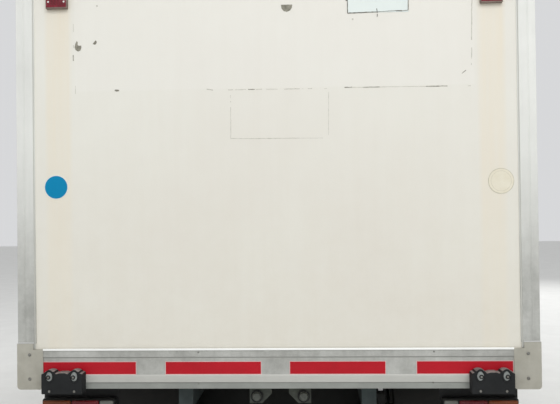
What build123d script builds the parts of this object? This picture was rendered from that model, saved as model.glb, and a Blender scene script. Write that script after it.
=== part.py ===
from build123d import *
import os
from math import cos, radians, sin

os.makedirs("parts", exist_ok=True)

# Light forward-control truck with an insulated box and a cooling unit on its front wall.
# X points to the vehicle's right, Y forward and Z up, with the origin on the ground under
# the middle of the vehicle. Everything is in millimetres.

# Fits between neighbours
curved_gap = 0.3          # between curved faces that seat on each other
pin_gap = 0.1             # radial, in every bore that turns on a pin
side_gap = 3              # along a pin, between the pieces that turn on it
past = 1                  # a cutter passes the face that it cuts by this much

# Wheels
tyre_radius = 402.5
tyre_width = 212
rim_radius = 203
rim_width = 190
rim_wall = 10
rim_disc = 12
axle_z = tyre_radius      # the wheels stand on the ground, with no load on the tyres
wheelbase = 3360
front_axle_y = 1885
rear_axle_y = front_axle_y - wheelbase
front_wheel_x = 830
twin_wheel_x = 810        # middle of the pair
twin_offset = 118         # from there to each tyre's middle

# Ladder frame
rail_outer = 425
rail_web = 6
rail_flange = 65
rail_bottom = 585
rail_height = 190
frame_front = 2800
cross_half = 40
cross_drop = 15           # top of a cross member below the top of the rail
cross_height = 120
cross_members = [-2280, -900, 100, 1000, 2700]
tow_spacing_x = 160
tow_spacing_z = 100
tow_hole_radius = 8.5
rear_plate = 8

# Insulated box
box_half_width = 1044
box_rear = -2936
frame_rear = box_rear + 116
box_front = 1236
subframe_height = 105
box_height = 2096
wall = 80
floor_thick = 100
post_proud = 4
post_width = 73
rail_proud = 6
lip_proud = 4             # beyond the bottom rail's face
lip_height = 6
bottom_rail_height = 161
top_rail_height = 90
top_rail_width = 58
casting_proud = 8
casting_end_proud = 10    # beyond the rear and front walls
casting_width = 67
casting_foot = 107
casting_height = 183
casting_foot_height = 159
casting_drop = 3
casting_round = 14

# Side door of the box, on the right
door_rear = -640
door_front = 260
door_top = 2800
door_taper = 12
door_gap = 6
hinge_out = 30            # the hinge pin stands this far outside the skin
hinge_pin = 8
hinge_eye = 14
hinge_reach = 3 * hinge_eye  # length of the blocks on either side of the pin
hinge_step = 2            # the lugs' faces stand this far ahead of the pin
hinge_heights = [1250, 1920, 2590]
strap_length = 260
strap_height = 24
strap_thick = 10
lock_bar_radius = 12
lock_bar_inset = 90
lock_bar_foot = 180       # the bar's ends, from the doorway's foot and head
lock_bar_head = 60
keeper_half_length = 36
keeper_half_height = 24
keeper_shares = [0.25, 0.5, 0.75]  # of the doorway's height

# Things on the box's rear wall and below it
buffer_width = 167
buffer_outer = box_half_width - 108
buffer_inner = buffer_outer - buffer_width
buffer_bottom = 869
buffer_top = 964
buffer_depth = 53
marker_x = box_half_width - 168
marker_heights = {1: 2440, -1: 2457}  # of the right and the left lamp, which don't sit level
marker_width = 88
marker_height = 62
marker_depth = 20
marker_corner = marker_depth / 3
lamp_width = 310
lamp_outer = box_half_width - 53
lamp_inner = lamp_outer - lamp_width
lamp_bottom = 712
lamp_top = 812
lamp_face = box_rear + 86
lamp_depth = 60
lamp_corner = 8
plate_bracket_x = 14      # the pair of them hangs this far to the right of the middle
plate_bracket_inner = 35
plate_bracket_outer = 128
plate_bracket_bottom = 796
plate_bracket_cut = 40     # its inner lower corner is cut off by this much
plate_lamp_radius = 25
plate_lamp_depth = 18
bracket_plate = 6

# Cab, which tilts about a pivot low at its front
cab_half = 1000
cab_rear = 1345
cab_front = 2950
cab_sill = 790
shoulder_z = 1450         # the cab is upright up to here
roof_edge_z = 2150
cab_wall = 45
cab_front_radius = 150
cab_rear_radius = 50
cab_inner_corner = 6
# Plan sections of the cab from the sill up. Columns: height, then how far in from the side, from the
# rear and from the front
cab_sections = [
    (cab_sill, 0, 0, 0),
    (shoulder_z, 0, 0, 0),
    (roof_edge_z, 70, 0, 310),
    (2235, 120, 60, 390),
    (2264, 205, 150, 480),
]
belt_z = 1460             # foot of the windscreen
header_z = 2120           # top of the windscreen and foot of the roof panel
screen_foot = 845         # half width of the windscreen at its foot
screen_head = 775
rear_window_half = 420
rear_window_bottom = 1560
rear_window_top = 1980
glass_inset = 18
glass_thick = 5
rear_seam_y = 1420        # between the rear panel and the sides
front_seam_y = 2790       # between the sides and the front panel
cab_floor_z = 900
cab_floor_thick = 40
pivot_y = 2880
pivot_z = 760
pivot_pin = 14
pivot_eye = 24
arch_radius = 488
liner_thick = 5
liner_inner_x = 700
skirt_bottom = 480
skirt_front = 2690
tunnel_half = 340
tunnel_rear = 1500
tunnel_front = 2660
tunnel_height = 220
tunnel_wall = 20
# Cab door outline, as it goes round. Columns: y, height
cab_door_outline = [(1760, 935), (2740, 935), (2740, 1450), (2492, 2085), (1760, 2085)]
cab_window_outline = [(1840, 1490), (2640, 1490), (2444, 2020), (1840, 2020)]
cab_door_gap = 6
cab_hinge_out = 12        # the hinge pin stands this far outside the door's skin
cab_hinge_ahead = 6       # and this far ahead of the doorway's front edge
cab_hinge_pin = 5
cab_hinge_eye = 9
cab_hinge_heights = [1040, 1360]
cab_hinge_height = 22
cab_hinge_web = 8         # thickness of the plates that carry the eyes
cab_hinge_step = 1        # between a lug's top and the strap over it
cab_lug_length = 36
cab_strap_length = 45
grille_half = 520
grille_foot = 862
grille_slot = 26
grille_pitch = 42
grille_slots = 4

# Front bumper
bumper_front = 2995
bumper_corner_y = 2905
bumper_flat_half = 600
bumper_half_width = 1000
bumper_end = 2700
bumper_bottom = 430
bumper_top = 720
bumper_wall = 30
bumper_corner_round = 110
bumper_bend_round = 60
sharp = 0.01              # the radius given to a corner that stays sharp
headlamp_inner = 620
headlamp_outer = 890
headlamp_bottom = 520
headlamp_top = 665
headlamp_inset = 4

# Leaf springs
spring_width = 70
leaf = 13
front_leaves = 5
rear_leaves = 6
spring_seat = 60
spring_drop = 35          # from the rail's underside to the spring
front_spring_x = rail_outer - 40
rear_spring_x = rail_outer + 50
front_spring_half = 540
rear_spring_half = 600

# Front axle and steering
kingpin_x = 700
kingpin_radius = 17
boss_radius = 32
boss_half = 37
knuckle_lug = 28
knuckle_half = 40
spindle_root = front_wheel_x - 30
front_spindle = 30
rear_spindle = 40
front_spindle_short = 37.5  # the spindles end this far inside the hubs' outer faces
rear_spindle_short = 30
arm_end_x = kingpin_x     # parallel arms, so that the tie rod stays parallel to the axle
arm_end_y = 1715
arm_thick = 20
arm_pin = 10
tie_rod_radius = 12       # half the height of its eyes
tie_shaft_radius = 11
tie_eye = 18

# Values that follow from the ones above
rail_top = rail_bottom + rail_height
box_bottom = rail_top + subframe_height
box_top = box_bottom + box_height
load_floor = box_bottom + floor_thick
rail_face = box_rear - rail_proud
bottom_rail_top = box_bottom + bottom_rail_height
web_inner = rail_outer - rail_web
all_x = 1500              # half of a cutter that passes the whole width
all_y = 3200              # and the whole length


def block(x0, x1, y0, y1, z0, z1):
    return Pos((x0 + x1) / 2, (y0 + y1) / 2, (z0 + z1) / 2) * Box(abs(x1 - x0), abs(y1 - y0), abs(z1 - z0))


def rod_x(radius, x0, x1, y, z):
    return Pos((x0 + x1) / 2, y, z) * Rot(0, 90, 0) * Cylinder(radius, abs(x1 - x0))


def rod_y(radius, x, y0, y1, z):
    return Pos(x, (y0 + y1) / 2, z) * Rot(90, 0, 0) * Cylinder(radius, abs(y1 - y0))


def rod_z(radius, x, y, z0, z1):
    return Pos(x, y, (z0 + z1) / 2) * Cylinder(radius, abs(z1 - z0))


def prism_x(points, x0, x1):
    outline = make_face(Polyline(*[(x0, y, z) for y, z in points], close=True))
    return extrude(outline, x1 - x0, dir=(1, 0, 0))


def prism_y(points, y0, y1):
    outline = make_face(Polyline(*[(x, y0, z) for x, z in points], close=True))
    return extrude(outline, y1 - y0, dir=(0, 1, 0))


def prism_z(points, z0, z1):
    outline = make_face(Polyline(*[(x, y, z0) for x, y in points], close=True))
    return extrude(outline, z1 - z0, dir=(0, 0, 1))


def other_side(shape):
    return mirror(shape, about=Plane.YZ)


def turned(profile, x, y, z):
    # A profile of (x, radius) pairs, turned about a line along X
    return Pos(x, y, z) * revolve(make_face(Polyline(*profile, close=True)), Axis.X)


def save(name, *shapes):
    solids = [solid for shape in shapes for solid in shape.solids()]
    export_step(solids[0] if len(solids) == 1 else Compound(solids), f"parts/{name}.step")


# Tyres: bore, side walls and tread band
def tyre(x, y):
    side = tyre_width / 2
    bore = rim_radius + curved_gap
    return turned([(-side, bore), (side, bore), (side, tyre_radius), (-side, tyre_radius)], x, y, axle_z)


# Front rim with its disc flush with the outer edge and a closed hub
front_hub_radius = 60
front_hub_inner = -25
front_hub_outer = 125
hub_cap = 15


def front_rim():
    edge = rim_width / 2
    bore = front_spindle + pin_gap
    disc = edge - rim_disc
    inside = rim_radius - rim_wall
    return turned([(front_hub_inner, bore), (front_hub_inner, front_hub_radius), (disc, front_hub_radius),
                   (disc, inside), (-edge, inside), (-edge, rim_radius), (edge, rim_radius),
                   (edge, front_hub_radius), (front_hub_outer, front_hub_radius), (front_hub_outer, 0),
                   (front_hub_outer - hub_cap, 0), (front_hub_outer - hub_cap, bore)],
                  front_wheel_x, front_axle_y, axle_z)


# Twin rear rims: one barrel with its disc at the middle and a closed hub
rear_hub_radius = 78
rear_hub_inner = -150
rear_hub_outer = 110


def rear_rims():
    far = twin_offset + rim_width / 2
    bore = rear_spindle + pin_gap
    inside = rim_radius - rim_wall
    return turned([(rear_hub_inner, bore), (rear_hub_inner, rear_hub_radius), (-rim_disc, rear_hub_radius),
                   (-rim_disc, inside), (-far, inside), (-far, rim_radius), (far, rim_radius), (far, inside),
                   (rim_disc, inside), (rim_disc, rear_hub_radius), (rear_hub_outer, rear_hub_radius),
                   (rear_hub_outer, 0), (rear_hub_outer - hub_cap, 0), (rear_hub_outer - hub_cap, bore)],
                  twin_wheel_x, rear_axle_y, axle_z)


def wheels():
    front_tyre = tyre(front_wheel_x, front_axle_y)
    twins = [tyre(twin_wheel_x + side * twin_offset, rear_axle_y) for side in (-1, 1)]
    save("tyre_front_right", front_tyre)
    save("tyre_front_left", other_side(front_tyre))
    save("tyres_rear_right", *twins)
    save("tyres_rear_left", *[other_side(twin) for twin in twins])
    save("rim_front_right", front_rim())
    save("rim_front_left", other_side(front_rim()))
    save("rims_rear_right", rear_rims())
    save("rims_rear_left", other_side(rear_rims()))


# Ladder frame: two channel rails, box cross members, spring hangers and the rear plate
front_hanger_half = 35


def chassis_frame():
    rail = block(web_inner, rail_outer, frame_rear, frame_front, rail_bottom, rail_top)
    for z in (rail_bottom, rail_top - rail_web):
        rail += block(rail_outer - rail_flange, rail_outer, frame_rear, frame_front, z, z + rail_web)
    half = spring_width / 2
    for end in (-front_spring_half, front_spring_half):
        y = front_axle_y + end
        rail += block(front_spring_x - half, front_spring_x + half, y - front_hanger_half, y + front_hanger_half,
                      rail_bottom - spring_drop, rail_bottom)
    for end in (-rear_spring_half, rear_spring_half):
        y = rear_axle_y + end
        rail += block(rail_outer, rear_spring_x + half, y - front_hanger_half, y + front_hanger_half,
                      rail_bottom - spring_drop, rail_bottom + 2 * front_hanger_half)
    frame = rail + other_side(rail)
    for y in cross_members:
        top = rail_top - cross_drop
        frame += block(-web_inner, web_inner, y - cross_half, y + cross_half, top - cross_height, top)
    frame += block(-rail_outer, rail_outer, frame_rear - rear_plate, frame_rear, rail_bottom, rail_top)
    middle = (rail_bottom + rail_top) / 2
    for x in (-tow_spacing_x / 2, tow_spacing_x / 2):
        for z in (middle - tow_spacing_z / 2, middle + tow_spacing_z / 2):
            frame -= rod_y(tow_hole_radius, x, frame_rear - 2 * rear_plate, frame_rear + rear_plate, z)
    save("chassis_frame", frame)


# Bumper stays on the rail ends, each with a towing eye below and the cab's pivot pin above
stay_inner = 385
stay_thick = 20
stay_foot = 600
stay_head = 700
tow_eye_y = 2915
tow_eye_z = 402
tow_eye_radius = 18
tow_tongue = 34
pivot_arm = 20


def bumper_stays():
    inner = bumper_front - bumper_wall
    stay = prism_x([(frame_front, stay_foot), (tow_eye_y - tow_tongue, stay_foot),
                    (tow_eye_y - tow_tongue, tow_eye_z), (tow_eye_y + tow_tongue, tow_eye_z),
                    (tow_eye_y + tow_tongue, stay_foot), (inner, stay_foot), (inner, stay_head),
                    (pivot_y + pivot_eye, stay_head), (pivot_y + pivot_eye, pivot_z),
                    (pivot_y - pivot_eye, pivot_z), (frame_front, stay_head)],
                   stay_inner, stay_inner + stay_thick)
    stay += rod_x(tow_tongue, stay_inner, stay_inner + stay_thick, tow_eye_y, tow_eye_z)
    stay += rod_x(pivot_eye, stay_inner, stay_inner + stay_thick, pivot_y, pivot_z)
    stay -= rod_x(tow_eye_radius, stay_inner - stay_thick, stay_inner + 2 * stay_thick, tow_eye_y, tow_eye_z)
    stay += rod_x(pivot_pin, stay_inner, rail_outer + 2 * side_gap + pivot_arm, pivot_y, pivot_z)
    stay += block(rail_outer - rail_flange, rail_outer, frame_front, frame_front + rear_plate, stay_foot, stay_head)
    save("bumper_stays", stay, other_side(stay))


def bumper_plan(inset, z0, z1):
    front = bumper_front - inset
    half = bumper_half_width - inset
    corner = bumper_corner_y - inset
    line = FilletPolyline((-half, bumper_end, z0), (-half, corner, z0), (-bumper_flat_half, front, z0),
                          (bumper_flat_half, front, z0), (half, corner, z0), (half, bumper_end, z0),
                          radius=[sharp, bumper_corner_round - inset, bumper_bend_round, bumper_bend_round,
                                  bumper_corner_round - inset, sharp], close=True)
    return extrude(make_face(line), z1 - z0, dir=(0, 0, 1))


intake_half = 340
intake_bottom = 470
intake_top = 560


def bumper():
    outer = bumper_plan(0, bumper_bottom, bumper_top)
    shell = outer - bumper_plan(bumper_wall, bumper_bottom, bumper_top)
    shell -= block(-intake_half, intake_half, bumper_corner_y, bumper_front + bumper_wall, intake_bottom, intake_top)
    lamps = []
    for side in (-1, 1):
        hole = block(side * headlamp_inner, side * headlamp_outer, bumper_end, bumper_front + bumper_wall,
                     headlamp_bottom, headlamp_top)
        lamps.append((shell & hole) & bumper_plan(headlamp_inset, bumper_bottom, bumper_top))
        shell -= hole
    save("front_bumper", shell)
    save("headlamps", *lamps)


# Box sub-frame: two runners on the rails and the bearers across them
runner_inner = 350
runner_outer = 410
runner_rear = box_rear + 96
runner_front = box_front - 36
bearer_height = 50
bearer_half = 25
bearer_reach = box_half_width - 44
bearers = [box_rear + 336, -2050, -900, -200, 500, box_front - 136]


def box_subframe():
    frame = Part()
    for side in (-1, 1):
        frame += block(side * runner_inner, side * runner_outer, runner_rear, runner_front, rail_top, box_bottom)
    for y in bearers:
        frame += block(-bearer_reach, bearer_reach, y - bearer_half, y + bearer_half,
                       box_bottom - bearer_height, box_bottom)
    save("box_subframe", frame)


def tapered_opening(shrink):
    # The door leaf's wedge: full size at the skin, smaller inside
    sections = []
    for x, inset in ((box_half_width, shrink), (box_half_width - wall, shrink + door_taper)):
        sections.append(make_face(Polyline(
            (x, door_rear + inset, bottom_rail_top + inset), (x, door_front - inset, bottom_rail_top + inset),
            (x, door_front - inset, door_top - inset), (x, door_rear + inset, door_top - inset), close=True)))
    return loft(sections, ruled=True)


def box_panels():
    inner = box_half_width - wall
    wall_top = box_top - wall
    save("box_floor", block(-inner, inner, box_rear + wall, box_front - wall, box_bottom, load_floor))
    save("box_wall_rear", block(-box_half_width, box_half_width, box_rear, box_rear + wall, box_bottom, wall_top))
    save("box_wall_front", block(-box_half_width, box_half_width, box_front - wall, box_front, box_bottom, wall_top))
    side = block(inner, box_half_width, box_rear + wall, box_front - wall, box_bottom, wall_top)
    save("box_wall_left", other_side(side))
    save("box_wall_right", side - tapered_opening(0))
    save("box_roof", block(-box_half_width, box_half_width, box_rear, box_front, wall_top, box_top))


def ring(outer, inner, z0, z1):
    # A rectangular band round the box, from one distance off its skin to another
    return (block(-box_half_width - outer, box_half_width + outer, box_rear - outer, box_front + outer, z0, z1)
            - block(-box_half_width - inner, box_half_width + inner, box_rear - inner, box_front + inner, z0, z1))


# Aluminium edges of the box: bottom rails with their lip, corner posts and the roof's edge
ridge_heights = [26, 128]
ridge_proud = 2
ridge_height = 4


def box_edges():
    roof_cap = box_top + post_proud
    edges = ring(rail_proud, 0, box_bottom, bottom_rail_top)
    edges += ring(rail_proud + lip_proud, 0, bottom_rail_top - lip_height, bottom_rail_top)
    for height in ridge_heights:
        edges += ring(rail_proud + ridge_proud, 0, box_bottom + height, box_bottom + height + ridge_height)
    posts = ring(post_proud, 0, bottom_rail_top, box_top)
    posts -= block(-all_x, all_x, box_rear + post_width, box_front - post_width, bottom_rail_top, box_top)
    inside = box_half_width + post_proud - post_width
    posts -= block(-inside, inside, 2 * box_rear, 2 * box_front, bottom_rail_top, box_top)
    edges += posts
    edges += ring(post_proud, 0, box_top - top_rail_height, box_top)
    edges += ring(post_proud, -top_rail_width, box_top, roof_cap)
    for side in (-1, 1):
        x = box_half_width + rail_proud + lip_proud
        for y, end in ((box_rear, -1), (box_front, 1)):
            corner = block(side * (box_half_width + casting_proud - casting_foot), side * (x + past),
                           y - end * casting_width, y + end * (casting_end_proud + past),
                           box_bottom, box_bottom + casting_height)
            edges -= corner
        edges -= block(side * buffer_inner, side * buffer_outer, rail_face - buffer_depth, rail_face,
                       buffer_bottom, buffer_top)
    save("box_edges", edges)


# Corner castings: a low foot along each rail and a taller post at the corner
def box_castings():
    castings = []
    out = box_half_width + casting_proud
    for x_side in (-1, 1):
        for y, end in ((box_rear, -1), (box_front, 1)):
            far = y + end * casting_end_proud
            bottom = box_bottom - casting_drop
            tall = prism_y([(x_side * (out - casting_foot), bottom), (x_side * out, bottom),
                            (x_side * out, box_bottom + casting_height),
                            (x_side * (out - casting_width), box_bottom + casting_height),
                            (x_side * (out - casting_width), box_bottom + casting_foot_height),
                            (x_side * (out - casting_foot), box_bottom + casting_foot_height)],
                           y - end * casting_width, far)
            tall = fillet(tall.edges().filter_by(Axis.Y).group_by(Axis.Z)[0], casting_round)
            tall -= block(-box_half_width, box_half_width, box_rear, box_front, 0, box_top)
            castings.append(tall)
    save("box_castings", *castings)


# Side door leaf with its hinge straps and lock bar
def side_door():
    leaf_skin = box_half_width
    save("side_door", tapered_opening(door_gap))
    pin_x = leaf_skin + hinge_out
    pin_y = door_front
    hardware = Part()
    for z in hinge_heights:
        top = z + strap_height
        strap = block(leaf_skin, leaf_skin + strap_thick, pin_y - strap_length, pin_y, z, top)
        strap += block(leaf_skin, pin_x, pin_y - hinge_reach, pin_y, z, top)
        strap += rod_z(hinge_eye, pin_x, pin_y, z, top)
        strap -= rod_z(hinge_pin + pin_gap, pin_x, pin_y, z - past, top + past)
        hardware += strap
    bar_y = door_rear + lock_bar_inset
    bar_x = leaf_skin + 2 * lock_bar_radius
    hardware += rod_z(lock_bar_radius, bar_x, bar_y, bottom_rail_top + lock_bar_foot, door_top - lock_bar_head)
    for share in keeper_shares:
        z = bottom_rail_top + share * (door_top - bottom_rail_top)
        hardware += block(leaf_skin, bar_x + lock_bar_radius, bar_y - keeper_half_length,
                          bar_y + keeper_half_length, z - keeper_half_height, z + keeper_half_height)
    save("side_door_hardware", hardware)
    lugs = []
    for z in hinge_heights:
        face = pin_y + hinge_step
        foot = z - strap_height
        lug = block(leaf_skin, pin_x + hinge_eye, face, pin_y + hinge_reach, foot, z - side_gap)
        lug += block(pin_x - hinge_eye, pin_x + hinge_eye, pin_y - hinge_eye, face, foot, z - side_gap)
        lug += rod_z(hinge_pin, pin_x, pin_y, foot, z + strap_height + side_gap)
        lugs.append(lug)
    save("side_door_hinges", *lugs)


# Rubber buffers, lamps and the brackets below the rear edge
washer_radius = 20
washer_depth = 16
buffer_bolt_inset = 33
buffer_bolt_z = 943
buffer_round = 12


def rear_fittings():
    rear = rail_face - buffer_depth
    buffer = block(buffer_inner, buffer_outer, rear, rail_face, buffer_bottom, buffer_top)
    buffer = chamfer(buffer.edges().filter_by(Axis.Z).group_by(Axis.Y)[0], buffer_round)
    for x in (buffer_inner + buffer_bolt_inset, buffer_outer - buffer_bolt_inset):
        buffer -= rod_y(washer_radius, x, rear - past, rear + washer_depth, buffer_bolt_z)
    save("rear_buffers", buffer, other_side(buffer))

    markers = []
    for side, height in marker_heights.items():
        middle = side * marker_x
        marker = block(middle - marker_width / 2, middle + marker_width / 2, box_rear - marker_depth, box_rear,
                       height - marker_height / 2, height + marker_height / 2)
        markers.append(chamfer(marker.edges().group_by(Axis.Y)[0], marker_corner))
    save("marker_lamps", *markers)

    lamp = block(lamp_inner, lamp_outer, lamp_face, lamp_face + lamp_depth, lamp_bottom, lamp_top)
    lamp = chamfer(lamp.edges().filter_by(Axis.Y), lamp_corner)
    plate_lamp_x = plate_bracket_outer - plate_lamp_radius - bracket_plate
    plate_face = lamp_face + bracket_plate
    plate_lamp = rod_y(plate_lamp_radius, plate_lamp_x, lamp_face - plate_lamp_depth, plate_face,
                       plate_bracket_bottom + plate_lamp_radius + bracket_plate)
    aside = Pos(plate_bracket_x, 0, 0)
    save("tail_lamps", lamp, other_side(lamp), aside * plate_lamp, aside * other_side(plate_lamp))

    back = lamp_face + lamp_depth
    holder = block(lamp_inner - bracket_plate, lamp_outer + bracket_plate, back, back + bracket_plate,
                   lamp_bottom - bracket_plate, box_bottom)
    trapezoid = prism_y([(plate_bracket_inner, box_bottom), (plate_bracket_outer, box_bottom),
                         (plate_bracket_outer, plate_bracket_bottom),
                         (plate_bracket_inner + plate_bracket_cut, plate_bracket_bottom),
                         (plate_bracket_inner, plate_bracket_bottom + plate_bracket_cut)],
                        plate_face, plate_face + bracket_plate)
    save("lamp_brackets", holder, other_side(holder), aside * trapezoid, aside * other_side(trapezoid))


# Cab shell, cut from nested lofts and split where its panels meet
def cab_loft(inset):
    faces = []
    front_round = cab_front_radius - inset
    rear_round = max(cab_rear_radius - inset, cab_inner_corner)
    for z, from_side, from_rear, from_front in cab_sections:
        level = z - inset if z > roof_edge_z else z
        x = cab_half - from_side - inset
        back = cab_rear + from_rear + inset
        nose = cab_front - from_front - inset
        line = FilletPolyline((-x, back, level), (x, back, level), (x, nose, level), (-x, nose, level),
                              radius=[rear_round, rear_round, front_round, front_round], close=True)
        faces.append(make_face(line))
    return loft(faces, ruled=True)


def inset_outline(points, gap):
    # A convex outline, each edge moved inwards by the gap
    moved = []
    count = len(points)
    for i in range(count):
        (x0, y0), (x1, y1), (x2, y2) = points[i - 1], points[i], points[(i + 1) % count]
        a = Vector(x1 - x0, y1 - y0).normalized()
        b = Vector(x2 - x1, y2 - y1).normalized()
        turn = a.X * b.Y - a.Y * b.X
        share = (1 - a.dot(b)) / turn
        moved.append((x1 - gap * a.Y - gap * share * a.X, y1 + gap * a.X - gap * share * a.Y))
    return moved


def cab_hinges():
    skin = cab_half
    edge = cab_door_outline[1][0]
    x = skin + cab_hinge_out
    y = edge + cab_hinge_ahead
    lugs = Part()
    straps = Part()
    for z in cab_hinge_heights:
        top = z + cab_hinge_height
        lugs += block(skin - cab_hinge_out, x, y + cab_hinge_eye, y + cab_lug_length, z, top)
        lugs += block(x - cab_hinge_web, x, y, y + 2 * cab_hinge_eye, z, top)
        lugs += rod_z(cab_hinge_eye, x, y, z, top)
        lugs += rod_z(cab_hinge_pin, x, y, z, top + cab_hinge_height)
        foot = top + cab_hinge_step
        head = foot + cab_hinge_height - 2 * cab_hinge_step
        straps += block(skin, x, edge - cab_strap_length, edge - cab_door_gap, foot, head)
        straps += block(x - cab_hinge_web, x, edge - cab_strap_length, y, foot, head)
        straps += rod_z(cab_hinge_eye, x, y, foot, head)
        straps -= rod_z(cab_hinge_pin + pin_gap, x, y, foot - past, head + past)
    return lugs, straps


def cab():
    shell = cab_loft(0) - cab_loft(cab_wall)
    glazing = cab_loft(glass_inset) - cab_loft(glass_inset + glass_thick)
    middle = (rear_seam_y + front_seam_y) / 2
    screen_hole = prism_y([(-screen_foot, belt_z), (screen_foot, belt_z), (screen_head, header_z),
                           (-screen_head, header_z)], middle, all_y)
    rear_window = block(-rear_window_half, rear_window_half, 0, rear_seam_y, rear_window_bottom, rear_window_top)
    doorway = prism_x(cab_door_outline, cab_half / 2, all_x)
    arch = rod_x(arch_radius, -all_x, all_x, front_axle_y, axle_z)
    upper = block(-all_x, all_x, 0, all_y, header_z, box_top)
    save("cab_roof", shell & upper)

    below = shell - upper
    behind = block(-all_x, all_x, 0, rear_seam_y, cab_sill, header_z)
    ahead = block(-all_x, all_x, front_seam_y, all_y, cab_sill, belt_z)
    save("cab_rear_panel", (below & behind) - rear_window)
    front = below & ahead
    for i in range(grille_slots):
        foot = grille_foot + i * grille_pitch
        front -= block(-grille_half, grille_half, front_seam_y, all_y, foot, foot + grille_slot)
    save("cab_front_panel", front)

    sides = below - behind - ahead - screen_hole - arch - doorway - other_side(doorway)
    lugs, straps = cab_hinges()
    save("cab_sides", sides + lugs + other_side(lugs))

    save("cab_glass", glazing & screen_hole, glazing & rear_window)

    leaf_outline = inset_outline(cab_door_outline, cab_door_gap)
    leaf_cut = prism_x(leaf_outline, cab_half / 2, all_x)
    window = prism_x(cab_window_outline, cab_half / 2, all_x)
    leaf_solid = (shell & leaf_cut) - window + straps
    pane = glazing & window
    save("cab_door_right", leaf_solid)
    save("cab_door_left", other_side(leaf_solid))
    save("cab_door_glass_right", pane)
    save("cab_door_glass_left", other_side(pane))


# Lower side panels ahead of the arch, with a step recess, and the liner over the wheel
step_z = 560
step_height = 130
step_depth = cab_wall / 2
step_rear = 260           # the recess runs from here to its front, behind the panel's front edge
step_front = 40
liner_low = 20            # degrees above level where the liner ends, front and rear


def cab_skirts():
    inner = cab_half - cab_wall
    outer_liner = arch_radius - curved_gap
    panel = block(inner, cab_half, front_axle_y, skirt_front, skirt_bottom, cab_sill)
    panel -= rod_x(outer_liner, inner - past, cab_half + past, front_axle_y, axle_z)
    panel -= block(cab_half - step_depth, cab_half + past, skirt_front - step_rear, skirt_front - step_front,
                   step_z, step_z + step_height)
    band = rod_x(outer_liner, liner_inner_x, cab_half, front_axle_y, axle_z)
    band -= rod_x(outer_liner - liner_thick, liner_inner_x - past, cab_half + past, front_axle_y, axle_z)
    low = axle_z + arch_radius * sin(radians(liner_low))
    band -= block(0, all_x, 0, bumper_front, -all_x, low)
    panel -= block(inner - past, cab_half + past, 0, front_axle_y + arch_radius / 2, 0, low)
    skirt = panel + band
    save("cab_skirts", skirt, other_side(skirt))


# Floor with the engine tunnel, the arms down to the pivot pins, seats, dashboard and steering wheel
floor_front = front_seam_y - 10
arm_rear_y = front_seam_y - 60
arm_head = 50
arm_width = 28
seat_x = cab_half - 380
seat_half = 250
seat_spacing = 70
middle_seat_half = seat_x - seat_half - seat_spacing
seat_height = 370         # top of the cushion above the floor
seat_gap = 35             # between the backrest and the rear panel
seat_depth = 575
seat_top_z = 1880
seat_back_foot = 115      # the backrest's thickness at the cushion and at its head
seat_back_head = 45
seat_foot_inset = 50
seat_skirt = 120
seat_nose = 60
seat_dish = 20
dash_half = cab_half - 200
dash_bottom = 1200
dash_top = 1430
dash_shelf = 205          # depth of the flat top
dash_depth = 335
dash_brow = 60
steering_tilt = 58        # degrees of the wheel's axis below level
steering_y = 2280
steering_z = 1560
steering_radius = 215
steering_rim = 25
steering_thick = 22
column_radius = 26
column_length = 400
# Housing round the column. Columns: x from its middle, y from the wheel's middle, height, each low and high
column_box = [-40, 40, 80, 340, 1240, 1330]


def seat(middle, half, base, rear, seat_top):
    front = rear + seat_depth
    return prism_x([(rear + seat_foot_inset, base), (front - seat_foot_inset, base), (front, seat_top - seat_nose),
                    (front - seat_dish, seat_top), (rear + seat_back_foot, seat_top - seat_dish),
                    (rear + seat_back_head, seat_top_z), (rear, seat_top_z), (rear, base + seat_skirt)],
                   middle - half, middle + half)


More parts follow.
